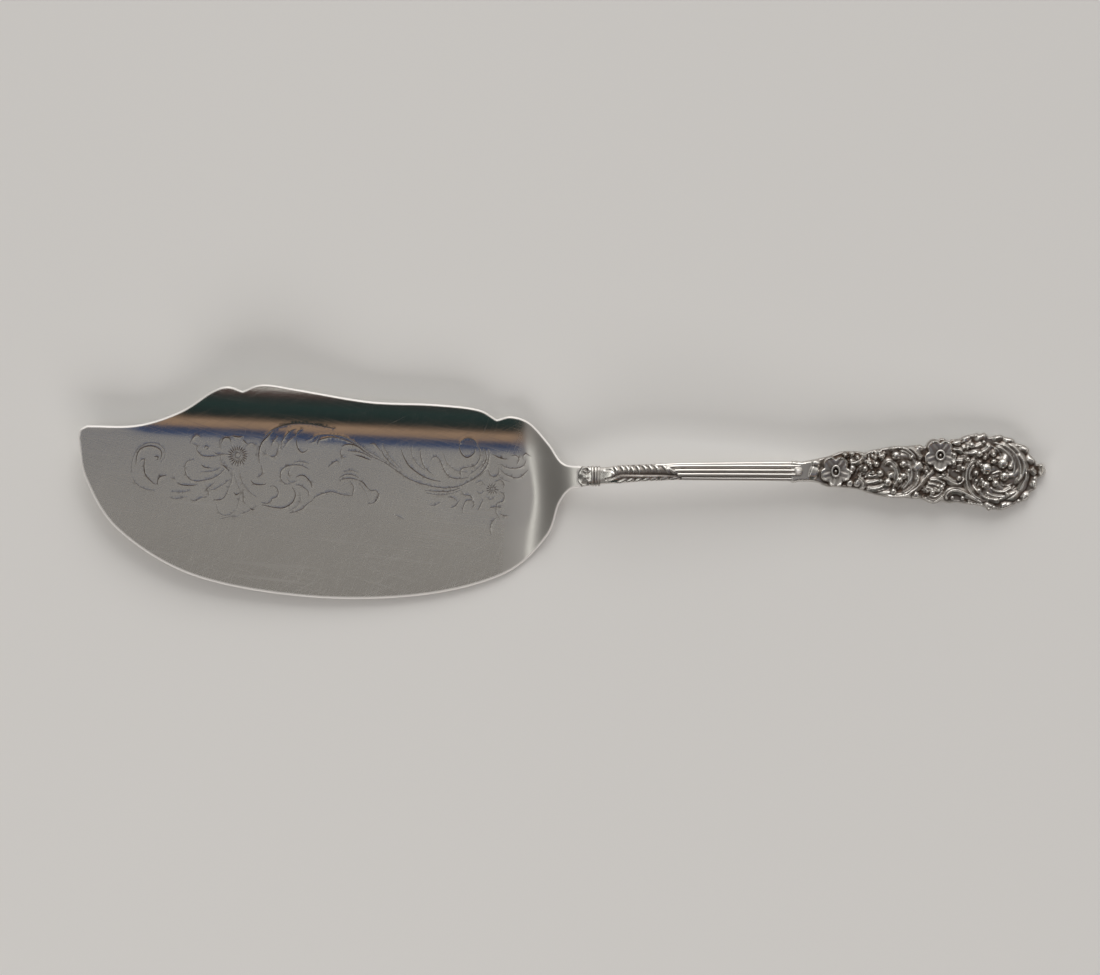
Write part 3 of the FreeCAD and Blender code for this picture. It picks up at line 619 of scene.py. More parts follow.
FINE_LINES = cuts(FAINT, (
    ((222, 453), (220.5, 459), (224, 465), (231, 469)),
    ((221, 449), (219.5, 442), (224, 436.5)),
    ((246, 446), (251, 443), (256, 446), (258, 452)),
    ((232, 471), (231.5, 480), (228, 489), (225, 497)),
    ((239, 470), (241, 479), (244, 486), (249, 492), (256, 497)),
    ((234, 474), (236, 482), (240, 492), (238, 503), (235, 512)),
    ((216, 504), (217.5, 510), (222, 515), (229, 515), (234, 511)),
    ((240, 514), (248, 511.5), (256, 506)),
    ((220, 519), (230, 517), (240, 517)),
    ((133, 478), (137, 484), (145, 489), (154, 491)),
    ((206, 486), (212, 490), (221, 486), (229, 480)),
    ((262, 451), (266, 455), (265, 449)),
    ((276, 441), (278.5, 446), (276, 452)),
    ((283, 448), (288, 441), (294, 437)),
    ((293, 463), (300, 461.5), (308, 463.5)),
    ((286, 478), (291, 483), (296, 481)),
    ((299, 492), (300, 500), (296, 507), (288, 511)),
    ((310, 443), (315, 441), (319, 436)),
    ((344, 472), (350, 470.5), (357, 472)),
    ((358, 483), (364, 490), (368, 498)),
    ((382, 444), (387, 453), (394, 462), (402, 470)),
    ((389, 466), (399, 472), (409, 479), (420, 484.5)),
    ((426, 493), (438, 495), (450, 494), (461, 490)),
    ((459, 446), (461, 441), (467, 438), (474, 440), (478, 446)),
    ((443, 453), (447, 463), (455, 470), (465, 472)),
    ((411, 447), (412, 456), (417, 464), (424, 470)),
    ((483, 449), (484, 459), (478, 468), (470, 474)),
    ((476, 483), (481, 481), (484, 484)), ((477, 492), (481, 494), (484, 491)),
    ((497, 473), (502, 479), (510, 482)), ((486, 497), (490, 500), (494, 498)),
    ((429, 505), (434, 506), (439, 503)), ((394, 515), (399, 517), (405, 520)),
)) + cuts(PLAIN, (
    ((263, 437), (270, 431), (280, 426.5), (296, 423.5), (312, 424.5), (326, 427), (334, 428.5)),
))
SMALL_FLOWER = cuts(PLAIN, (
    ((495, 482), (500, 480), (504, 484), (503, 488)),
    ((500, 492), (504, 495), (503, 501), (497, 503)),
))
SPRIGS = cuts(PLAIN, (
    ((461, 491), (464, 495), (470, 496), (472, 500), (466, 501), (463, 507), (462, 512)),
    ((449, 497), (453, 498), (456, 500)),
    ((451, 508), (455, 506), (459, 501)),
    ((472, 508), (474, 504), (472, 501)),
    ((478, 510), (481, 504), (483, 500)),
    ((490, 508), (496, 507), (501, 508)),
    ((497, 503), (496, 512), (499, 518)),
    ((500, 514), (504, 516), (508, 516)),
    ((491, 535), (490, 528), (492, 522), (495, 519)),
))


@dataclass(frozen=True)
class RayFlower:
    """Engraved flower whose heart is a ring of short rays, drawn on the sheet."""

    centre: Point
    inner: float
    outer: float
    rays: int
    lean: float = 0.12
    ring_share: float = 0.55
    ring_parts: int = 12

    def at(self, reach: float, turn: float) -> Point:
        """Place at a distance from the centre, in a direction."""
        return self.centre[0] + reach * math.cos(turn), self.centre[1] + reach * math.sin(turn)

    def cuts(self) -> list[Cut]:
        """Rays and ring of the flower's heart."""
        lines = []
        for number in range(self.rays):
            turn = 2 * math.pi * number / self.rays
            lines.append((self.at(self.inner, turn), self.at(self.outer, turn + self.lean)))
        turns = [2 * math.pi * number / self.ring_parts for number in range(self.ring_parts + 1)]
        ring = [self.at(self.ring_share * self.inner, turn) for turn in turns]
        return cuts(STRONG, lines) + cuts(PLAIN, [ring])


@dataclass(frozen=True)
class SilverFinish:
    """Old silver: its own colour, its dark tarnish in the hollows with some painted shade, how satin its
    surface is, and near-white worn metal that is also a painted highlight.
    """

    name: str = "old_silver"
    metal: tuple[float, float, float] = (0.80, 0.775, 0.735)
    # Dark tarnish colour, also the colour of the painted shade in the blossoms' folds
    oxide_and_shade_colour: tuple[float, float, float] = (0.095, 0.062, 0.044)
    polished: float = 0.12
    satin: float = 0.27
    dull: float = 0.5
    # Near-white worn silver, also a painted highlight on the blade's edge and on the knob
    rubbed: tuple[float, float, float] = (0.96, 0.93, 0.9)
    # How much less metallic the worn, highlighted spots are, so that they show bright
    scatter: float = 0.75
    scratches: tuple[tuple[float, float, float], ...] = (
        (0.45, 24.0, 0.16), (-0.3, 30.0, 0.2), (1.2, 14.0, 0.14), (-0.12, 60.0, 1.6),
    )
    scratch_depth: float = 0.00002
    cloud_scale: float = 38.0
    cloud_detail: float = 5.0
    cloud_span: Point = (0.35, 0.75)
    cloud_dark: float = 0.1
    streak_span: Point = (0.58, 0.85)
    scratch_bump: float = 0.35
    scratch_dullness: float = 0.45

    def tarnish(self, wiring: Wiring, place: bpy.types.NodeSocket) -> bpy.types.NodeSocket:
        """Faint cloudy tarnish all over."""
        inputs = {"Vector": place, "Scale": self.cloud_scale, "Detail": self.cloud_detail}
        cloud = wiring.add("ShaderNodeTexNoise", inputs)
        return wiring.mapped(cloud.outputs["Fac"], self.cloud_span, (0.0, self.cloud_dark))

    def scratch_lines(self, wiring: Wiring, place: bpy.types.NodeSocket) -> bpy.types.NodeSocket:
        """Fine straight scratches in a few directions."""
        lines = None
        for turn, length, width in self.scratches:
            turned = wiring.add("ShaderNodeMapping", {
                "Vector": place, "Rotation": (0.0, 0.0, turn),
                "Scale": (length * METRES, width * METRES, 0.05),
            }, vector_type="TEXTURE")
            inputs = {"Vector": turned.outputs["Vector"], "Scale": 1.0, "Detail": 2.0}
            streak = wiring.add("ShaderNodeTexNoise", inputs)
            thin = wiring.mapped(streak.outputs["Fac"], self.streak_span)
            lines = thin if lines is None else wiring.sum_of("MAXIMUM", lines, thin)
        return lines

    def build(self) -> bpy.types.Material:
        """Node material, which reads each mesh's darkness (tarnish with painted shade), its worn spots with
        painted highlight, and its satin.

        Returns:
            The material.
        """
        material, wiring, shader = new_material(self.name)
        place = wiring.add("ShaderNodeTexCoord").outputs["Object"]
        rub = wiring.read("rub")
        scratches = self.scratch_lines(wiring, place)
        dark = wiring.sum_of("ADD", wiring.read("patina"), self.tarnish(wiring, place), clamp=True)
        colour = wiring.blend(dark, opaque(self.metal), opaque(self.oxide_and_shade_colour))
        # Painted highlight: where worn, the colour turns near white and the metal less metallic
        wiring.feed(shader["Base Color"], wiring.blend(rub, colour, opaque(self.rubbed)))
        wiring.feed(shader["Metallic"], wiring.sum_of("MULTIPLY_ADD", rub, -self.scatter, 1.0))
        base = wiring.sum_of("MULTIPLY_ADD", wiring.read("satin"), self.satin, self.polished)
        wear = wiring.sum_of("MULTIPLY_ADD", scratches, self.scratch_dullness, dark, clamp=True)
        worn = wiring.sum_of("MAXIMUM", wear, rub)
        rough = wiring.add("ShaderNodeMix", {0: worn, 2: base, 3: self.dull})
        wiring.feed(shader["Roughness"], rough.outputs[0])
        inputs = {"Strength": self.scratch_bump, "Distance": self.scratch_depth, "Height": scratches}
        bump = wiring.add("ShaderNodeBump", inputs, invert=True)
        wiring.feed(shader["Normal"], bump.outputs["Normal"])
        return material


@dataclass(frozen=True)
class FloorFinish:
    """Pale plain floor."""

    name: str = "pale_floor"
    colour: tuple[float, float, float] = (0.80, 0.79, 0.77)
    faded: float = 0.97
    roughness: float = 0.85
    cloud_scale: float = 3.0

    def build(self) -> bpy.types.Material:
        """Node material with a faint cloudy variation.

        Returns:
            The material.
        """
        material, wiring, shader = new_material(self.name)
        shader["Roughness"].default_value = self.roughness
        place = wiring.add("ShaderNodeTexCoord").outputs["Object"]
        cloud = wiring.add("ShaderNodeTexNoise", {"Vector": place, "Scale": self.cloud_scale})
        faded = [self.faded * value for value in self.colour]
        colour = wiring.blend(cloud.outputs["Fac"], opaque(self.colour), opaque(faded))
        wiring.feed(shader["Base Color"], colour)
        return material


@dataclass
class Bench:
    """Where finished meshes go: the shift from the neck to the frame, and the finish that they take."""

    shift: Vector
    silver: bpy.types.Material

    @classmethod
    def from_frame(cls, silver: bpy.types.Material) -> "Bench":
        """Bench whose shift follows the frame's box."""
        low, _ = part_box(NODE)
        neck = (low.x + SHEET.tip_reach * METRES, low.y + SHEET.belly_reach * METRES, 0.0)
        return cls(Vector(neck), silver)

    def in_frame(self, corners: np.ndarray) -> list[list[float]]:
        """Corners in metres in the frame, from millimetres from the neck."""
        return (corners * METRES + np.array(self.shift)).tolist()

    def object_from(
        self, name: str, corners: np.ndarray, faces: Sequence, crease: float = 40.0, **layers: np.ndarray,
    ) -> bpy.types.Object:
        """Object from corners in millimetres.

        Args:
            name: name of the piece.
            corners: rows of x, y and z from the neck.
            faces: corner numbers of each face.
            crease: angle in degrees above which an edge stays sharp.
            layers: darkness (tarnish with painted shade), wear with painted highlight, or satin of each
                corner, from 0 to 1.

        Returns:
            The object, with its place in its mesh.
        """
        mesh = bpy.data.meshes.new(name)
        mesh.from_pydata(self.in_frame(corners), [], [list(face) for face in faces])
        mesh.materials.append(self.silver)
        mesh.validate()
        for key, values in layers.items():
            write_layer(mesh, key, np.clip(values, 0, 1))
        mesh.shade_smooth()
        mesh.set_sharp_from_angle(angle=math.radians(crease))
        return put_in_scene(name, mesh)

    def plain(self, piece: bpy.types.Object) -> bpy.types.Object:
        """Turn what a piece's modifiers make into its plain mesh.

        Args:
            piece: object with a modifier.

        Returns:
            The same object, with a plain mesh and no modifier.
        """
        graph = bpy.context.evaluated_depsgraph_get()
        mesh = bpy.data.meshes.new_from_object(piece.evaluated_get(graph))
        piece.modifiers.clear()
        old = piece.data
        piece.data = mesh
        mesh.name = piece.name
        if isinstance(old, bpy.types.Mesh):
            bpy.data.meshes.remove(old)
        return piece

    def hand_over(self, piece: bpy.types.Object) -> None:
        """Let a finished piece ride on the body and stand for the node."""
        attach(piece, BODY)
        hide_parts(NODE)
        LOG.info("%s: %d faces", piece.name, len(piece.data.polygons))


@dataclass
class Blade:
    """Thin dished blade with an upturned ogee rim, a curved heel and engraved ornament."""

    length: float = 150.7
    belly_depth: float = 38.4
    gauge: float = 1.25
    tip_lift: float = 7.0
    flat_start: float = 30.0
    dish_depth: float = 1.4
    dish_axis: float = 6.0
    rim_radius: float = 23.0
    rim_angle: float = math.radians(52.0)
    fold_datum: float = 23.6
    fold_offset: float = 4.9
    fold_lean: float = 0.052
    rim_start: float = 142.0
    heel_length: float = 16.0
    heel_rise: float = 7.2
    neck_slope: float = 0.15
    dressing: float = 0.15
    bevel: float = 0.5
    edge_slope: float = 0.8
    net: float = 1.1
    back_net: float = 2.4
    margin: float = 1.2
    finest: float = 0.11
    border_loops: tuple[float, ...] = (0.34, 0.68, 1.0, 1.7)
    cut_rows: tuple[float, ...] = (0.0, 0.28, -0.28, 0.56, -0.56)
    lobe: Line = ((1.2, 1.45), (-4.5, 2.5), (-8.8, 8.4), (-14.5, 14.6), (-20.0, 16.6), (-24.5, 15.7))
    long_rim: Line = (
        (-24.5, 15.7), (-30.5, 18.8), (-44.0, 20.3), (-62.8, 21.1), (-83.0, 24.4), (-94.5, 26.1),
        (-101.0, 24.2),
    )
    short_rim: Line = (
        (-101.0, 24.2), (-105.4, 25.5), (-110.5, 23.9), (-120.2, 18.0), (-133.0, 14.0), (-148.0, 13.8),
    )
    corner: Line = ((-148.0, 13.8), (-150.1, 12.6), (-150.7, 10.0))
    belly: Line = (
        (-150.7, 10.0), (-148.4, -2.5), (-138.5, -18.0), (-116.0, -31.6), (-82.0, -38.0),
        (-48.0, -37.6), (-22.5, -31.2), (-9.6, -20.0), (-5.6, -9.8), (-2.4, -5.6), (1.2, -4.8),
    )

    def outline(self) -> np.ndarray:
        """Outline of the blade seen from above, anticlockwise."""
        parts = []
        for points in (self.lobe, self.long_rim, self.short_rim, self.corner, self.belly):
            parts.append(smooth_line(np.array(points, float), 0.5)[:-1])
        return np.vstack(parts + [np.array([self.belly[-1]], float)])

    def fold(self, x: np.ndarray) -> np.ndarray:
        """Where the flat of the blade ends and the rim begins."""
        return self.fold_offset + (-x - self.fold_datum) * self.fold_lean

    def underside(self, places: np.ndarray) -> np.ndarray:
        """Height of the underside before its flat is dressed.

        Args:
            places: rows of x and y.

        Returns:
            Height at each place.
        """
        x, y = places[:, 0], places[:, 1]
        rocker = self.tip_lift * (np.maximum(0, -x - self.flat_start) / (self.length - self.flat_start)) ** 2
        dish = self.dish_depth * ((y + self.dish_axis) / (self.belly_depth - self.dish_axis)) ** 2
        out = np.maximum(0, y - self.fold(x)) * np.clip((x + self.rim_start) / 12, 0.05, 1)
        roll = self.rim_radius * math.sin(self.rim_angle)
        curl = self.rim_radius - np.sqrt(self.rim_radius ** 2 - np.minimum(out, roll) ** 2)
        rim = curl + np.maximum(0, out - roll) * math.tan(self.rim_angle)
        start = -self.heel_length - 1.2 + 2.6 * np.exp(-((y + 8) / 12) ** 2)
        share = 1 - x / start
        part = np.clip(share, 0, 1)
        heel = self.heel_rise * (3 * part ** 2 - 2 * part ** 3)
        heel += self.neck_slope * self.heel_length * (part ** 3 - part ** 2 + np.maximum(0, share - 1))
        return rocker + dish + rim + heel - self.dressing

    def engraving(self) -> list[Cut]:
        """All engraved lines."""
        lines = SCROLL_AT_TIP + LEAVES_AT_FLOWER + LARGE_FLOWER + MIDDLE_SCROLLS + LONG_TENDRILS
        lines += LEAVES_AT_HEEL + SMALL_FLOWER + SPRIGS + FINE_LINES
        lines += RayFlower((237.5, 455.5), 5.0, 9.5, 22).cuts()
        lines += RayFlower((491.5, 489.0), 2.6, 5.0, 12).cuts()
        return lines

    def carve(self, places: np.ndarray) -> tuple[np.ndarray, np.ndarray]:
        """Depth of the engraving, and how dark it has gone.

        Args:
            places: rows of x and y.

        Returns:
            Depth and darkness at each place.
        """
        depth = np.zeros(len(places))
        dark = np.zeros(len(places))
        for cut in self.engraving():
            line = cut.line()
            low, high = line.min(0) - cut.width, line.max(0) + cut.width
            near = np.flatnonzero(((places > low) & (places < high)).all(1))
            if not len(near):
                continue
            distance, share = nearest(line, places[near])
            swell = 0.45 + 0.55 * np.sin(np.pi * np.clip(share, 0.02, 0.98)) ** 0.6
            section = np.clip(1 - distance / (0.5 * cut.width * swell), 0, 1)
            depth[near] = np.maximum(depth[near], cut.depth * swell * section)
            shade = np.clip(1.8 - 1.8 * distance / (0.54 * cut.width * swell), 0, 0.95)
            dark[near] = np.maximum(dark[near], cut.depth / STRONG[1] * shade)
        return depth, dark

    def seeds(self, outline: np.ndarray, inward: np.ndarray) -> np.ndarray:
        """Places for the corners of the front.

        Args:
            outline: rows of the outline.
            inward: direction to the inside at each of its rows.

        Returns:
            Rows along the cut edge, beside the engraving and over the rest.
        """
        rows = []
        for cut in self.engraving():
            line = cut.line()
            side = left_of(np.gradient(line, axis=0))
            rows += [line + side * cut.width * step for step in self.cut_rows]
        rows = np.vstack(rows)
        rows = rows[inside(outline, rows)]
        rows = rows[nearest(outline, rows, closed=True)[0] > self.bevel]
        border = []
        for share in self.border_loops:
            step = share * self.bevel
            loop = outline + inward * step
            clear = nearest(outline, loop, closed=True)[0] > 0.9 * step
            border.append(loop[inside(outline, loop) & clear])
        grid = honeycomb(outline, self.net, self.margin)
        return np.vstack(border + [thinned(np.vstack([rows, grid]), self.finest)])

    def brushing(self, corners: np.ndarray) -> np.ndarray:
        """How satin each corner is: most on the heel, about half on the flat and none on the rim."""
        satin = np.clip(1 - (corners[:, 1] - self.fold(corners[:, 0])) / 2.0, 0, 1)
        satin = np.maximum(satin, np.clip((corners[:, 0] + 21) / 7, 0, 1))
        return satin * (0.45 + 0.55 * np.clip((corners[:, 0] + 24) / 8, 0, 1))

    def build(self, bench: Bench) -> bpy.types.Object:
        """Mesh of the blade.

        Args:
            bench: where the finished mesh goes.

        Returns:
            The object.
        """
        outline = self.outline()
        inward = left_of(np.roll(outline, -1, axis=0) - np.roll(outline, 1, axis=0))
        flat, faces = triangles_between(outline, self.seeds(outline, inward))
        depth, dark = self.carve(flat)
        edge, share = nearest(outline, flat, closed=True)
        top = np.maximum(self.underside(flat), 0) + self.gauge - depth
        top = np.minimum(top, self.square_edge(outline, inward, share) + self.edge_slope * edge)
        low_flat, low_faces = triangles_between(outline, honeycomb(outline, self.back_net, self.margin))
        low_edge, _ = nearest(outline, low_flat, closed=True)
        low = np.maximum(self.underside(low_flat), 0) + np.clip(0.9 - low_edge, 0, None) * 0.3
        corners, all_faces = closed_shell(outline, (flat, faces, top), (low_flat, low_faces, low))
        back = (0, len(low))
        return bench.object_from(
            "blade", corners, all_faces, 35.0,
            patina=np.pad(dark, back),
            # Worn bevel all round, also a painted highlight: a near-white edge line
            rub=np.pad(np.clip((self.bevel + 0.05 - edge) / 0.1, 0, 1), back),
            satin=self.brushing(corners),
        )

    def square_edge(self, outline: np.ndarray, inward: np.ndarray, share: np.ndarray) -> np.ndarray:
        """Height of the outline on a face cut square to the sheet, at shares of the outline's length.

        Args:
            outline: rows of the outline.
            inward: direction to the inside at each of its rows.
            share: shares of the outline's length.

        Returns:
            Height at each share.
        """
        base = np.maximum(self.underside(outline), 0)
        inner = np.maximum(self.underside(outline + inward * self.bevel), 0)
        climb = (base - inner) / self.bevel
        wall = np.clip(self.gauge - self.bevel * (climb + self.edge_slope), 0.2, 0.9)
        steps = np.linalg.norm(np.roll(outline, -1, axis=0) - outline, axis=1)
        along = np.concatenate([[0], np.cumsum(steps)]) / steps.sum()
        height = base + wall
        return np.interp(share, along, np.append(height, height[0]))


@dataclass(frozen=True)
class HandleLine:
    """Course of the handle from the neck to the carved end, in millimetres."""

    stem: float = 67.0
    heel_rise: float = 7.2
    crest_lift: float = 8.9
    crest_share: float = 0.30
    crest_fall: float = 1.3
    end_length: float = 74.6
    end_tilt: float = math.radians(4.2)
    start_drop: float = 0.4
    squareness: float = 2.3
    dressing: float = 0.15
    shares: tuple[float, ...] = (-0.1, 0.0, 0.085, 0.15, 0.30, 0.78, 1.03)
    depths: tuple[float, ...] = (0.2, 1.3, 2.65, 3.5, 3.6, 3.6, 3.2)
    edge_places: tuple[float, ...] = (-6.0, 0.0, 3.6, 6.6, 8.5, 12.7, 18.7, 24.8, 30.8, 50.0, 68.0)
    upper_edge: tuple[float, ...] = (1.2, 1.45, 1.45, 1.15, 1.2, 1.85, 2.0, 2.2, 2.55, 2.75, 2.85)
    lower_edge: tuple[float, ...] = (-4.2, -4.7, -4.38, -3.95, -3.8, -3.6, -3.05, -2.8, -2.6, -2.8, -3.05)

    def root_lift(self) -> float:
        """Underside of the handle where the carved end begins."""
        return self.end_length * math.sin(self.end_tilt)

    def underside(self, x: np.ndarray) -> np.ndarray:
        """Height of the underside at each distance from the neck."""
        share = x / self.stem
        climb = np.sin(np.clip(share / self.crest_share, 0, 1) * math.pi / 2)
        rise = self.heel_rise + (self.crest_lift - self.heel_rise) * climb
        fall = np.clip((share - self.crest_share) / (1 - self.crest_share), 0, None) ** self.crest_fall
        drop = np.minimum(x, 0) * self.start_drop
        return rise - (self.crest_lift - self.root_lift()) * fall + drop - self.dressing

    def depth(self, x: np.ndarray) -> np.ndarray:
        """Height of the section at each distance from the neck."""
        return np.interp(x / self.stem, self.shares, self.depths)

    def edges(self, x: np.ndarray) -> tuple[np.ndarray, np.ndarray]:
        """Upper and lower edge of the handle seen from above."""
        upper = np.interp(x, self.edge_places, self.upper_edge)
        lower = np.interp(x, self.edge_places, self.lower_edge)
        return upper, lower

    def crown(self, x: np.ndarray, y: np.ndarray) -> np.ndarray:
        """Height of the top surface of the plain stem."""
        high, low = self.edges(x)
        across = np.clip(np.abs(2 * y - high - low) / (high - low), 0, 1)
        half = self.depth(x) / 2
        return self.underside(x) + half * (1 + np.sqrt(np.clip(1 - across ** self.squareness, 0, 1)))


HANDLE = HandleLine()


class Tree(Wiring):
    """Geometry Nodes tree with named inputs, made node by node."""

    def __init__(self, name: str, inputs: dict[str, tuple[str, float]]) -> None:
        """Make an empty tree.

        Args:
            name: name of the tree.
            inputs: for each named size, its kind of socket and its value.
        """
        super().__init__(bpy.data.node_groups.new(name, "GeometryNodeTree"))
        face = self.tree.interface
        for side in ("INPUT", "OUTPUT"):
            face.new_socket("Geometry", in_out=side, socket_type="NodeSocketGeometry")
        self.identifiers = {}
        self.values = {}
        for key, (kind, value) in inputs.items():
            socket = face.new_socket(key, in_out="INPUT", socket_type="NodeSocket" + kind)
            self.identifiers[key] = socket.identifier
            self.values[key] = value
        self.source = self.tree.nodes.new("NodeGroupInput").outputs
        self.target = self.tree.nodes.new("NodeGroupOutput").inputs

    def stored(self, key: str, kind: str = "FLOAT") -> bpy.types.NodeSocket:
        """Value that each point holds under a name."""
        return self.add("GeometryNodeInputNamedAttribute", {"Name": key}, data_type=kind).outputs[0]

    def circle(self, parts: int) -> bpy.types.NodeSocket:
        """Circle of radius one, in so many parts."""
        return self.add("GeometryNodeCurvePrimitiveCircle", {"Resolution": parts, "Radius": 1.0}).outputs[0]

    def tube(
        self, path: bpy.types.NodeSocket, radius: bpy.types.NodeSocket, parts: int, caps: bool = False,
    ) -> bpy.types.NodeSocket:
        """Round tube along a path.

        Args:
            path: curve that it follows.
            radius: its radius.
            parts: how many sides it has.
            caps: whether its ends are closed.

        Returns:
            The tube's geometry.
        """
        section = self.add("GeometryNodeCurvePrimitiveCircle", {"Resolution": parts, "Radius": radius})
        inputs = {"Curve": path, "Profile Curve": section.outputs[0], "Fill Caps": caps}
        return self.add("GeometryNodeCurveToMesh", inputs).outputs[0]

    def copies(
        self, points: bpy.types.NodeSocket, item: bpy.types.NodeSocket, scale: Feed = (1.0, 1.0, 1.0),
    ) -> bpy.types.NodeSocket:
        """Copies of an item.

        Args:
            points: where they go.
            item: what is copied.
            scale: their size.

        Returns:
            The copies.
        """
        inputs = {"Points": points, "Instance": item, "Scale": scale}
        return self.add("GeometryNodeInstanceOnPoints", inputs).outputs[0]

    def finish(self, socket: bpy.types.NodeSocket, material: bpy.types.Material, dark: float = 0.9) -> None:
        """End the tree in real, smooth, dressed geometry.

        Args:
            socket: geometry that the tree has made.
            material: finish of all of it.
            dark: darkness of the steep sides; what faces straight up stays light.
        """
        shape = self.add("GeometryNodeRealizeInstances", {"Geometry": socket}).outputs[0]
        normal = self.add("GeometryNodeInputNormal")
        up = self.add("ShaderNodeSeparateXYZ", {"Vector": normal.outputs[0]})
        # Darker where the surface turns from facing up to facing sideways
        patina = self.mapped(up.outputs["Z"], (0.15, 0.75), (dark, 0.05 * dark))
        for key, value in (("patina", patina), ("satin", WIRE_BRUSHING)):
            inputs = {"Geometry": shape, "Name": key, "Value": value}
            shape = self.add("GeometryNodeStoreNamedAttribute", inputs, data_type="FLOAT").outputs[0]
        smooth = self.add("GeometryNodeSetShadeSmooth", {"Geometry": shape})
        dress = self.add("GeometryNodeSetMaterial", {"Geometry": smooth.outputs[0], "Material": material})
        self.feed(self.target[0], dress.outputs[0])

    def run(self, bench: Bench, piece: bpy.types.Object) -> bpy.types.Object:
        """Give a piece this tree and turn the result into its plain mesh.

        Args:
            bench: where the finished mesh goes.
            piece: object whose mesh the tree starts from.

        Returns:
            The piece.
        """
        modifier = piece.modifiers.new(self.tree.name, "NODES")
        modifier.node_group = self.tree
        for key, identifier in self.identifiers.items():
            modifier[identifier] = self.values[key]
        return bench.plain(piece)


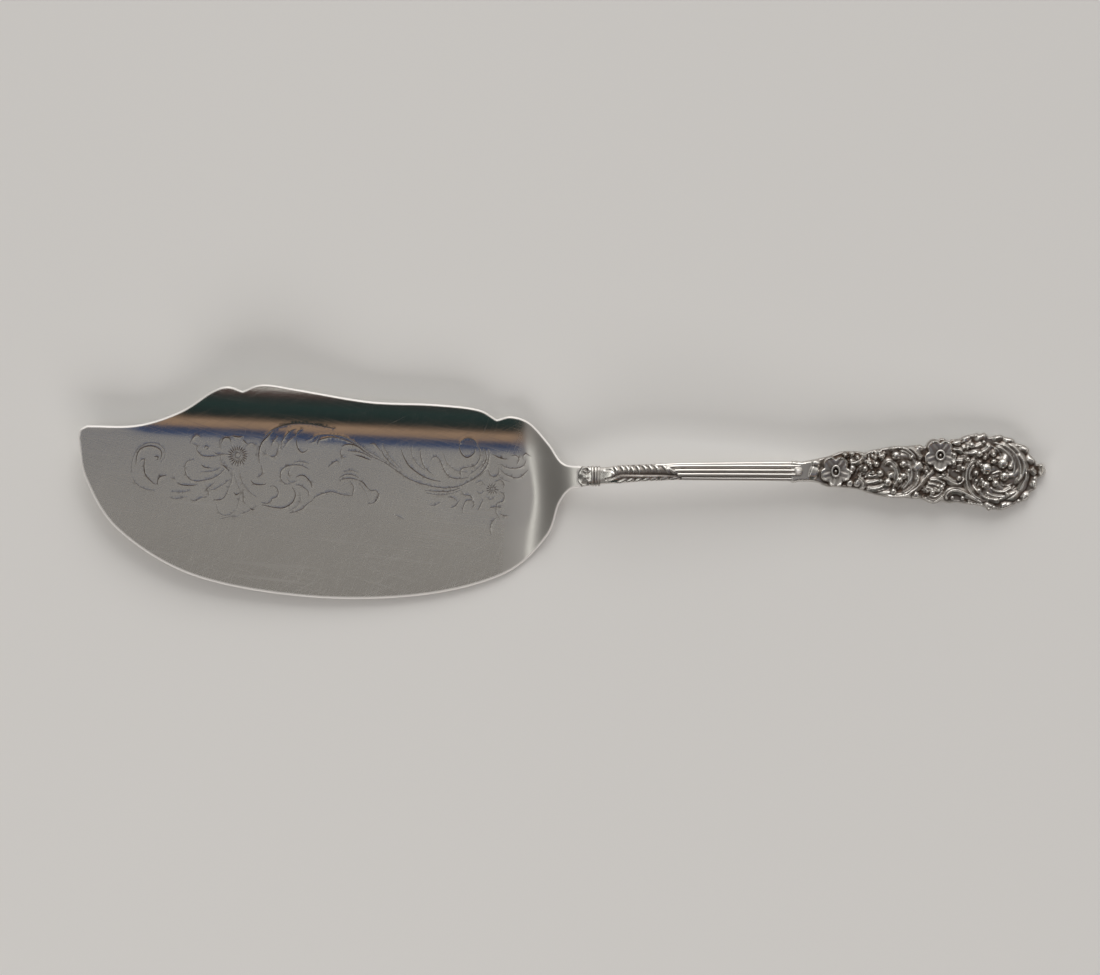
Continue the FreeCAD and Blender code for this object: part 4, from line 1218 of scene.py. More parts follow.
@dataclass
class Stem:
    """Neck with a heart leaf and volutes, collar, bud, acanthus leaf and reeded stem."""

    start: float = -5.0
    end: float = 68.6
    step: float = 0.2
    sides: int = 72
    roundness: float = 0.87
    brushing: float = 0.35
    ring_place: float = 4.36
    ring_pitch: float = 0.95
    ring_count: int = 3
    ring_wire: float = 0.4
    reed_radius: float = 0.54
    reed_sunk: float = 0.12
    reed_rows: tuple[float, ...] = (463.2, 466.8, 470.9, 474.9, 479.0)
    reed_starts: tuple[float, ...] = (655.0, 666.0, 674.0, 677.0, 681.0)
    reed_end: float = 800.0
    reed_parts: int = 60
    upper_leaflets: tuple[Line, ...] = (
        ((612, 466), (615, 468.5), (618, 473.5)), ((618.5, 465), (622, 468), (625, 473)),
        ((623, 464.5), (627, 468), (629.5, 473.5)), ((629, 465.5), (632, 469), (634.5, 473.5)),
        ((634.5, 464.5), (638, 468.5), (640, 473.5)), ((640, 464), (644.5, 467.5), (647, 472)),
        ((646.5, 464), (650.5, 468), (653, 472.5)), ((652, 464), (656.5, 468), (659.5, 473)),
        ((660, 464), (665, 468), (669, 473.5)), ((666, 466), (671, 470.5), (677, 473.5)),
    )
    lower_leaflets: tuple[Line, ...] = (
        ((615, 484), (620, 482), (627, 479.2)), ((624, 483), (629, 481), (634, 479)),
        ((633, 482.5), (637, 480.8), (642, 478.8)), ((641, 482), (645, 480.2), (650, 478.5)),
        ((648, 481.5), (652, 479.8), (657, 478.2)), ((657, 481), (662, 479.4), (668, 478)),
        ((667, 480.6), (672, 479.2), (679, 478.2)),
    )
    midrib: Line = (
        (606, 479.4), (613, 477.6), (620, 474.6), (630, 474.4), (645, 474.8), (660, 474.8), (674, 475.6),
    )
    lower_band: Line = ((619, 477.6), (632, 477.0), (648, 477.2), (664, 477.2), (679, 477.0))
    bud_line: Line = (
        (605, 470.3), (610, 470.6), (614.5, 473.0), (615.6, 475.6), (612, 478.2), (605.5, 479.4),
    )
    volutes: tuple[Line, ...] = (
        ((578, 475), (580.5, 470.5), (584, 467.6), (588, 468.4), (589, 471), (586.4, 472.4),
         (583.6, 471.2)),
        (
            (578, 480), (580.5, 483.6), (584.4, 485.2), (588.4, 484.2), (589, 481.4), (586.2, 480.0),
            (583.4, 481.2),
        ),
    )
    heart: Line = ((576, 476.5), (582, 476.3), (590, 476.4))
    leaflet_size: Point = (0.52, 0.5)
    band_size: Point = (0.5, 0.15)
    heart_size: Point = (0.8, 0.25)
    volute_size: Point = (0.36, 0.35)
    midrib_size: Point = (0.42, 0.2)
    bud_line_size: Point = (0.3, 0.3)
    bud_place: float = 9.6
    bud_length: float = 2.6
    bud_height: float = 0.28

    def relief(self, x: np.ndarray, y: np.ndarray) -> np.ndarray:
        """How far the ornament stands over the plain stem, negative in a cut.

        Args:
            x: distances from the neck.
            y: distances from the handle axis.

        Returns:
            Height at each place.
        """
        places = np.column_stack([x, y])
        level = np.zeros(len(places))
        raised = [(line, *self.leaflet_size) for line in self.upper_leaflets + self.lower_leaflets]
        raised += [(self.lower_band, *self.band_size), (self.heart, *self.heart_size)]
        raised += [(line, *self.volute_size) for line in self.volutes]
        for line, half_width, height in raised:
            points = tuple(map(tuple, SHEET.place(line)))
            Stroke(StrokeKind.VEIN, half_width, height, points).raise_on(places, level, 0.0)
        level += self.bud_height * np.exp(-((x - self.bud_place) / self.bud_length) ** 2)
        sunk = ((self.midrib, *self.midrib_size), (self.bud_line, *self.bud_line_size))
        for line, half_width, depth in sunk:
            distance, _ = nearest(smooth_line(SHEET.place(line), 0.3), places)
            level -= depth * np.clip(1 - (distance / half_width) ** 2, 0, 1)
        return level * np.clip((x + 0.2) / 1.6, 0, 1)

    def patina(self, along: np.ndarray, y: np.ndarray, rise: np.ndarray, relief: np.ndarray) -> np.ndarray:
        """Oxide in the cuts, between the leaflets, under the reeds and rings, and beside the volutes.

        Args:
            along: distances from the neck.
            y: distances from the handle axis.
            rise: how far each corner faces up, from -1 to 1.
            relief: height of the ornament.

        Returns:
            Darkness of each corner.
        """
        front = rise > 0.05
        hollow = np.clip(-relief * np.clip(rise * 2.2, 0, 1) * 1.6, 0, 0.7)
        gaps = (along > 11.0) & (along < 32.0) & (relief * front < 0.12) & front
        under_reeds = (along > 31.0) & (rise > 0.1)
        collar = np.abs(along - self.ring_place - self.ring_pitch) < 1.5 * self.ring_pitch
        places = np.column_stack([along, y])
        curls = [nearest(smooth_line(SHEET.place(line), 0.3), places)[0] for line in self.volutes]
        beside = np.minimum.reduce(curls)
        volutes = (beside > 0.3) & (beside < 0.62) & front & (along < 3.4) & (along > 0.9)
        dark = np.maximum(hollow, np.where(gaps, 0.68, 0.0) + np.where(under_reeds, 0.75, 0.0))
        return np.maximum(dark, np.where(collar, 0.5, 0.05) + np.where(volutes, 0.6, 0.0))

    def build(self, bench: Bench) -> bpy.types.Object:
        """Mesh of the neck and the stem.

        Args:
            bench: where the finished mesh goes.

        Returns:
            The object.
        """
        stations = np.arange(self.start, self.end, self.step)
        turn = 2 * np.pi * np.arange(self.sides) / self.sides
        along, angle = (grid.ravel() for grid in np.meshgrid(stations, turn, indexing="ij"))
        high, low = HANDLE.edges(along)
        side, rise = np.cos(angle), np.sin(angle)
        middle, half = (high + low) / 2, (high - low) / 2
        depth = HANDLE.depth(along) / 2
        y = middle + half * np.sign(side) * np.abs(side) ** self.roundness
        z = HANDLE.underside(along) + depth * (1 + np.sign(rise) * np.abs(rise) ** self.roundness)
        relief = self.relief(along, y)
        proud = relief * np.clip(rise * 2.2, 0, 1)
        corners = np.column_stack([along, y + proud * side * 0.6, z + proud * (0.4 + 0.6 * rise)])
        number = np.arange(len(corners)).reshape(len(stations), self.sides)
        beside = np.roll(number, -1, 1)
        quads = np.stack([number[:-1], beside[:-1], beside[1:], number[1:]], -1)
        faces = list(quads.reshape(-1, 4)) + [number[0][::-1], number[-1]]
        return bench.object_from(
            "stem", corners, faces, 60.0,
            patina=self.patina(along, y, rise, relief), satin=np.full(len(corners), self.brushing),
        )

    def rings(self, bench: Bench) -> bpy.types.Object:
        """Raised rings of the collar.

        Args:
            bench: where the finished mesh goes.

        Returns:
            The object.
        """
        tree = Tree("collar_rings", {
            "Count": ("Int", self.ring_count), "Wire": ("Float", self.ring_wire * METRES),
            "Pitch": ("Float", self.ring_pitch * METRES),
        })
        x = np.array([self.ring_place + self.ring_pitch])
        high, low = (float(edge[0]) for edge in HANDLE.edges(x))
        depth = float(HANDLE.depth(x)[0])
        base = float(HANDLE.underside(x)[0])
        shaped = tree.add("GeometryNodeTransform", {
            "Geometry": tree.circle(64), "Rotation": (math.pi / 2, 0.0, math.pi / 2),
            "Scale": ((high - low) / 2 * METRES, (depth / 2) * METRES, METRES),
        })
        ring = tree.tube(shaped.outputs[0], tree.source["Wire"], 10)
        pitch = tree.add("ShaderNodeCombineXYZ", {"X": tree.source["Pitch"]})
        first = np.array([self.ring_place, (high + low) / 2, base + depth / 2])
        start = first * METRES + np.array(bench.shift)
        places = tree.add("GeometryNodeMeshLine", {
            "Count": tree.source["Count"], "Offset": pitch.outputs[0], "Start Location": tuple(start),
        })
        tree.finish(tree.copies(places.outputs[0], ring), bench.silver, 0.5)
        return tree.run(bench, bench.object_from("collar_rings", np.zeros((1, 3)), []))

    def reeds(self, bench: Bench) -> bpy.types.Object:
        """Reeds that run side by side along the stem.

        Args:
            bench: where the finished mesh goes.

        Returns:
            The object.
        """
        rows, links, swell = [], [], []
        for height, start in zip(self.reed_rows, self.reed_starts):
            ends = SHEET.place([(start, height), (self.reed_end, height)])
            x = np.linspace(ends[0, 0], ends[1, 0], self.reed_parts)
            high, low = HANDLE.edges(x)
            spread = np.interp(x, (ends[0, 0], ends[1, 0]), (0.94, 1.0))
            y = (high + low) / 2 + (ends[0, 1] - (high + low)[0] / 2) * spread
            y = np.clip(y, low + self.reed_radius * 0.9, high - self.reed_radius * 0.9)
            z = HANDLE.crown(x, y) - self.reed_sunk
            first = len(rows) * self.reed_parts
            rows.append(np.column_stack([x, y, z]))
            links += [(first + number, first + number + 1) for number in range(self.reed_parts - 1)]
            share = np.linspace(0, 1, self.reed_parts)
            swell += list(np.clip(0.35 + 9 * share, 0.35, 1.0))
        mesh = bpy.data.meshes.new("reeds")
        mesh.from_pydata(bench.in_frame(np.vstack(rows)), links, [])
        write_layer(mesh, "swell", np.array(swell))
        piece = put_in_scene("reeds", mesh)
        tree = Tree("reeds", {"Radius": ("Float", self.reed_radius * METRES)})
        path = tree.add("GeometryNodeMeshToCurve", {"Mesh": tree.source["Geometry"]})
        width = {"Curve": path.outputs[0], "Radius": tree.stored("swell")}
        shaped = tree.add("GeometryNodeSetCurveRadius", width)
        tube = tree.tube(shaped.outputs[0], tree.source["Radius"], 14, caps=True)
        tree.finish(tube, bench.silver, 0.05)
        return tree.run(bench, piece)


FINGERS = (
    (0.55, ((14.8, 3.1), (16.4, 3.5), (17.2, 4.2))),
    (0.6, ((13.6, 3.5), (15.3, 4.2), (15.6, 5.3))),
    (0.45, ((12.7, 4.3), (13.2, 4.6), (13.6, 4.9))),
    (0.6, ((19.6, 4.6), (20.1, 3.4), (21.1, 2.2))),
    (0.75, ((21.0, 5.4), (21.7, 3.8), (23.0, 2.2))),
    (0.5, ((22.3, 6.1), (22.2, 4.9), (22.7, 4.1))),
    (0.6, ((24.2, 6.5), (23.6, 5.4), (24.3, 4.5))),
    (0.5, ((25.4, 6.7), (24.8, 5.8), (25.1, 4.8))),
    (0.75, ((17.0, -1.2), (18.1, 0.2), (19.5, 0.8))),
    (0.5, ((17.2, -1.6), (19.6, -1.3), (21.9, -0.3))),
    (0.85, ((18.6, -2.5), (21.1, -2.0), (23.0, -1.5), (24.1, -0.6))),
    (0.5, ((19.3, -3.8), (21.7, -3.4), (24.3, -2.8))),
    (1.0, ((19.6, -4.8), (23.3, -4.7), (25.3, -4.1), (26.4, -3.3))),
    (0.8, ((19.6, -5.9), (23.6, -6.4), (26.8, -6.5), (28.1, -6.0))),
    (1.05, ((35.4, -1.6), (34.7, 1.8), (32.3, 4.3), (29.0, 4.8))),
    (0.9, ((33.9, -4.6), (34.0, -1.0), (33.0, 1.5), (31.2, 2.2))),
    (0.85, ((31.5, -5.6), (32.9, -3.4), (32.4, -1.8), (31.2, -1.4))),
    (0.75, ((29.0, -5.5), (29.6, -3.9), (30.1, -2.6))),
    (0.7, ((44.6, 5.0), (45.6, 5.0), (46.6, 4.9))),
    (0.7, ((44.4, 2.5), (45.4, 2.4), (46.4, 2.6))),
    (0.75, ((47.7, 7.6), (49.8, 8.2), (51.9, 7.9))),
    (0.5, ((48.6, 7.3), (49.6, 7.2), (50.6, 7.2))),
    (0.8, ((47.9, 6.2), (51.0, 6.3), (52.9, 5.9), (54.3, 5.3))),
    (0.65, ((47.4, 4.0), (49.2, 3.9), (50.7, 3.7))),
    (0.7, ((45.9, 0.6), (47.7, 0.8), (49.2, 0.9))),
    (0.7, ((38.4, -3.3), (40.8, -4.0), (42.7, -4.8))),
    (0.65, ((36.2, -5.1), (38.4, -5.4), (40.0, -6.3))),
    (0.55, ((40.6, -2.5), (42.2, -2.9), (43.4, -3.8))),
    (0.5, ((38.4, -3.8), (40.2, -4.7), (41.8, -5.8))),
    (0.45, ((35.6, -5.3), (37.4, -5.2), (38.4, -6.0))),
    (0.65, ((57.2, 7.8), (58.2, 6.7), (58.6, 5.1))),
    (1.2, ((58.3, 8.2), (61.0, 6.8), (62.3, 4.6), (61.4, 2.4))),
    (0.7, ((61.6, 7.4), (63.5, 5.5), (64.4, 3.1), (63.7, 1.4))),
    (1.1, ((63.4, 6.7), (66.1, 4.0), (66.4, 1.0), (64.6, -1.1), (61.9, -1.5))),
    (0.9, ((65.2, -3.8), (62.9, -5.2), (60.7, -5.2), (59.2, -3.6))),
    (1.0, ((62.8, -6.4), (60.7, -7.2), (58.0, -6.6), (56.2, -4.1))),
    (0.7, ((60.9, -8.4), (58.3, -8.6), (55.6, -7.8), (54.1, -5.8))),
    (0.75, ((51.9, -3.4), (52.2, -1.6), (53.2, -0.5))),
    (0.6, ((66.4, -4.9), (64.9, -6.1), (62.7, -7.0))),
    (0.6, ((30.2, 5.6), (32.2, 5.4), (33.6, 4.2))), (0.6, ((36.6, 2.6), (37.9, 1.4), (38.2, -0.1))),
    (0.55, ((53.0, 4.6), (53.6, 3.0), (54.8, 1.9))), (0.6, ((53.8, -6.2), (54.4, -4.6), (55.4, -3.4))),
    (0.55, ((44.6, 0.6), (44.4, -0.6), (43.2, -1.2))), (0.6, ((60.6, -1.4), (59.2, -2.2), (57.4, -2.1))),
    (1.15, ((62.0, 0.4), (60.0, 0.9), (58.2, 0.8), (56.6, 0.6))),
    (0.7, ((61.4, 2.0), (60.2, 2.9), (58.6, 3.0))),
    (0.6, ((57.6, 6.6), (56.6, 5.6), (56.0, 4.2))), (0.55, ((53.2, -4.8), (53.8, -3.6), (54.9, -2.4))),
)
EDGE_TIPS = (
    (0.85, ((48.2, 8.4), (49.9, 9.5), (51.6, 10.8))), (0.6, ((52.5, 10.1), (53.0, 10.7), (53.5, 11.3))),
    (0.85, ((52.0, 9.0), (54.2, 9.9), (56.3, 11.3))), (0.85, ((57.4, 9.3), (59.3, 10.1), (61.5, 10.9))),
    (0.95, ((60.6, 8.9), (62.6, 9.3), (65.0, 9.5))), (0.7, ((64.0, 8.5), (66.0, 8.2), (68.0, 7.6))),
    (0.9, ((64.6, 7.4), (66.8, 6.9), (69.6, 6.3))), (0.6, ((67.6, 4.6), (69.8, 3.1), (71.3, 3.1))),
    (0.8, ((67.4, 4.4), (69.4, 3.7), (71.5, 3.3))), (0.6, ((70.4, -1.4), (71.1, -2.1), (71.7, -2.8))),
    (0.85, ((69.9, -2.0), (71.0, -3.4), (71.4, -5.2))), (0.95, ((69.0, -5.2), (68.6, -7.0), (67.4, -9.0))),
    (0.6, ((69.8, -5.9), (69.4, -7.0), (68.9, -8.1))), (0.7, ((64.0, -9.1), (62.2, -10.0), (60.4, -10.5))),
    (0.9, ((65.6, -8.8), (63.2, -10.3), (60.2, -11.4))),
    (0.9, ((54.6, -9.0), (56.6, -10.1), (58.9, -11.2))),
    (0.8, ((34.0, -7.0), (35.2, -7.6), (36.4, -8.6))), (0.8, ((36.8, 5.6), (36.3, 6.7), (35.8, 7.9))),
    (0.5, ((36.5, 4.0), (35.8, 5.8), (35.2, 7.5))),
)
SCROLL_RIMS = (
    (0.42, ((14.4, 2.3), (16.8, 2.7), (18.6, 3.8), (18.8, 5.0), (17.6, 5.5))),
    (0.42, ((25.4, 1.2), (26.0, 2.5), (27.2, 2.8), (28.9, 1.1), (29.5, -1.4), (28.8, -3.6), (27.6, -5.2))),
    (0.42, ((26.6, 6.4), (28.6, 7.2), (31.0, 7.1), (33.4, 5.8), (35.3, 3.6))),
    (0.36, ((32.3, 7.5), (34.1, 6.4), (35.9, 4.6), (37.1, 3.6))),
    (0.42, ((17.1, -1.9), (18.6, -3.2), (19.2, -5.4))),
    (0.36, ((35.3, -0.5), (35.6, -2.3), (34.6, -4.4), (32.3, -6.3), (30.2, -6.9))),
    (0.42, ((24.2, -7.6), (31.3, -7.4), (33.8, -6.1), (35.6, -4.7), (37.1, -2.9), (38.7, -1.1),
    (40.5, 0.4))),
    (0.42, ((40.6, -1.6), (43.6, -2.0), (46.2, -3.5), (48.2, -3.8), (49.3, -2.7), (48.8, -1.4))),
    (0.42, ((37.6, -7.0), (38.4, -8.7), (40.6, -9.2), (42.8, -7.7), (43.3, -6.6))),
    (0.45, ((44.8, -8.9), (44.2, -7.4), (45.4, -6.0), (47.6, -5.7), (50.2, -6.8), (54.6, -9.2))),
    (0.36, ((50.1, -9.4), (52.9, -9.9), (55.9, -10.5))),
    (0.36, ((51.0, -7.5), (52.9, -8.5), (55.3, -9.6))),
    (0.45, ((54.2, 3.4), (51.6, 2.4), (50.3, -0.6), (50.6, -4.2), (52.6, -7.3), (56.4, -9.4))),
    (0.36, ((53.3, 2.0), (51.9, 1.3), (51.2, -0.8), (51.3, -3.2))),
    (0.42, ((65.4, 6.0), (67.8, 2.6), (67.4, -1.2), (64.9, -3.9))),
    (0.38, ((68.6, 0.4), (68.3, -2.3), (67.0, -4.7), (66.3, -6.6))),
    (0.4, ((56.2, -8.1), (58.3, -8.5), (60.7, -8.5))),
    (0.55, ((71.9, 1.8), (73.4, 1.7), (73.9, 0.4), (73.6, -0.9), (72.3, -1.6))),
    (0.36, ((69.8, 1.0), (70.7, -0.2), (71.7, -0.7))),
)
SWEEPS = (
    ((1003, 441), (1014, 447), (1022, 456), (1026, 466), (1026.5, 476), (1023, 487), (1015, 496),
     (1003, 502)),
    ((998, 442.5), (1009, 448), (1017, 456), (1021, 466), (1020.5, 476), (1016, 484)),
    ((994, 446), (1003, 449), (1010, 455), (1014.5, 463), (1014.5, 471), (1010, 476)),
    ((1020, 488), (1011, 495), (998, 499.5), (986, 498), (977, 491), (972, 483)),
    ((1014, 486), (1005, 491.5), (996, 491), (989, 486)),
    ((1017, 491), (1006, 496), (994, 496), (984, 491)),
    ((984, 442), (978, 446), (969, 447), (960, 448)),
    ((992, 443), (986, 450), (977, 453), (962, 453)),
    ((896, 451), (905, 452), (912, 458), (916, 466), (917, 475), (913, 484)),
    ((899, 461), (906, 463), (911, 470), (911, 479), (906, 487)),
    ((906, 470), (909, 476), (907, 484), (901, 490)),
    ((888, 466), (893, 468), (895, 474), (893, 481)),
    ((866, 476), (873, 476), (880, 473)), ((864, 483), (873, 482), (881, 479)),
    ((865, 488), (875, 488.5), (884, 486)), ((926, 484), (934, 484.5), (940, 488)),
    ((924, 487), (932, 489), (938, 493)), ((928, 480), (936, 480), (944, 483)),
    ((928, 494), (934, 497), (940, 494), (943, 489)),
    ((952, 449), (959, 450), (964, 452)), ((951, 460), (958, 460.5), (964, 461)),
    ((866, 459), (868, 465), (873, 469)), ((878, 450), (880, 456), (884, 460)),
)
SMALL_LEAVES = (
    (1.9, ((1.4, 0.7), (3.8, -0.3), (6.6, -1.6))), (1.0, ((2.1, 2.5), (4.5, 2.4), (6.9, 1.2))),
    (0.95, ((14.2, 1.1), (15.6, 0.9), (17.3, 0.8))), (0.6, ((15.2, 0.6), (15.4, -0.4), (15.2, -1.3))),
    (1.0, ((26.8, 0.4), (27.4, -1.3), (27.9, -3.0))), (1.5, ((34.0, 3.2), (35.6, 1.4), (37.0, -0.8))),
    (1.3, ((47.0, 9.7), (47.3, 8.5), (47.1, 7.2))), (0.9, ((14.2, -2.2), (14.9, -3.6), (14.8, -5.1))),
    (1.3, ((16.0, -2.2), (17.4, -3.4), (18.5, -5.0))), (1.0, ((33.4, -6.4), (35.0, -7.2), (36.6, -7.9))),
)
BEADS = (
    (0.55, (21.9, -0.3)), (0.5, (24.3, -2.8)), (0.75, (48.0, -2.1)), (0.6, (46.0, -8.0)),
    (0.65, (49.1, -8.1)), (0.55, (55.6, 8.8)), (0.55, (53.3, -2.9)), (0.6, (32.8, 0.2)),
    (0.6, (66.1, -9.0)), (0.6, (58.6, -10.9)), (0.55, (57.1, -11.4)),
)
END_TOP = (
    (790, 462.0), (800, 461.5), (810, 460), (820, 458), (830, 455.5), (840, 451.8), (848, 451),
    (860, 451.5), (865, 452.5),
    (870, 450.5), (880, 448.5), (890, 446.8), (895, 445.8), (905, 446), (915, 445), (920, 444.5),
    (925, 446.5),
    (927, 443), (930, 440), (935, 438.5), (938, 440), (941, 437.8), (945, 438.5), (949, 441), (952, 439),
    (960, 438.5), (963, 436.5), (970, 434.5), (974, 434.5), (977, 432.8), (980, 434), (985, 432.5),
    (988, 435),
    (990, 437), (995, 435.5), (1002, 434.8), (1005, 436.5), (1014, 438.8), (1017, 443), (1025, 445),
    (1030, 449), (1030, 453), (1033, 456.5), (1037, 461), (1038, 464), (1043, 463.5), (1046, 467),
    (1047, 471),
)
END_BOTTOM = (
    (1045, 475.5), (1040, 477.5), (1038, 480), (1038, 485), (1036, 490), (1031, 493), (1030, 498),
    (1024, 501.5), (1018, 502.5), (1016, 504.5), (1008, 508.5), (1000, 510.5), (995, 509.5), (988, 510),
    (985, 507), (975, 505.3), (965, 503.8), (955, 502.5), (950, 503.5), (945, 502), (942, 501),
    (937, 503.3),
    (930, 503.3), (924, 500), (920, 499), (913, 499), (905, 498), (895, 497.8), (885, 497), (875, 495),
    (865, 492), (860, 490), (851, 488.5), (840, 487.5), (828, 487), (823, 485.5), (818, 483), (810, 481.7),
    (800, 481.6), (790, 481.2),
)


@dataclass(frozen=True)
class Blossom:
    """Five cupped petals round a heart, in millimetres from the root of the carved end."""

    centre: Point
    reach: float
    ring_along: float
    ring_across: float
    first_turn: float = math.radians(54.0)
    petals: int = 5
    folds: int = 3

    def raise_on(self, places: np.ndarray, level: np.ndarray, floor: float, top: float) -> None:
        """Raise the petals on a surface.

        Args:
            places: rows of x and y.
            level: height at each place, which this changes.
            floor: height of the ground.
            top: height of the petals' rims.
        """
        away = places - np.array(self.centre)
        for number in range(self.petals):
            turn = self.first_turn + 2 * math.pi * number / self.petals
            along = away[:, 0] * math.cos(turn) + away[:, 1] * math.sin(turn)
            across = -away[:, 0] * math.sin(turn) + away[:, 1] * math.cos(turn)
            middle = 0.6 * self.reach
            round_place = np.hypot((along - middle) / (0.44 * self.reach), across / (0.47 * self.reach))
            outward = np.clip(0.5 + (along - middle) / (0.5 * self.reach), 0.35, 1)
            rim = outward * np.exp(-((round_place - 0.8) / 0.17) ** 2)
            fold = np.cos(across * 2 * math.pi * self.folds / self.reach) * np.clip(1 - round_place, 0, 1)
            cup = np.clip(0.42 + 0.34 * along / self.reach, 0.45, 0.78) + 0.06 * fold
            shape = np.where(round_place < 1, np.maximum(rim, cup), 0)
            shape = shape * np.clip((1.02 - round_place) * 7, 0, 1)
            level[:] = np.maximum(level, floor + (top - floor) * shape)

    def shade(self, places: np.ndarray) -> np.ndarray:
        """Painted shade of the petals' folds: dark radial stripes, strongest towards the heart.

        Args:
            places: rows of x and y.

        Returns:
            Darkness at each place.
        """
        away = places - np.array(self.centre)
        reach = np.hypot(away[:, 0], away[:, 1]) / self.reach
        turn = np.arctan2(away[:, 1], away[:, 0]) - self.first_turn
        folds = 0.5 + 0.5 * np.cos(turn * self.petals * self.folds)
        return np.clip(1.25 - reach / 0.62, 0, 1) * (0.26 + 0.38 * folds) * (reach < 0.8)


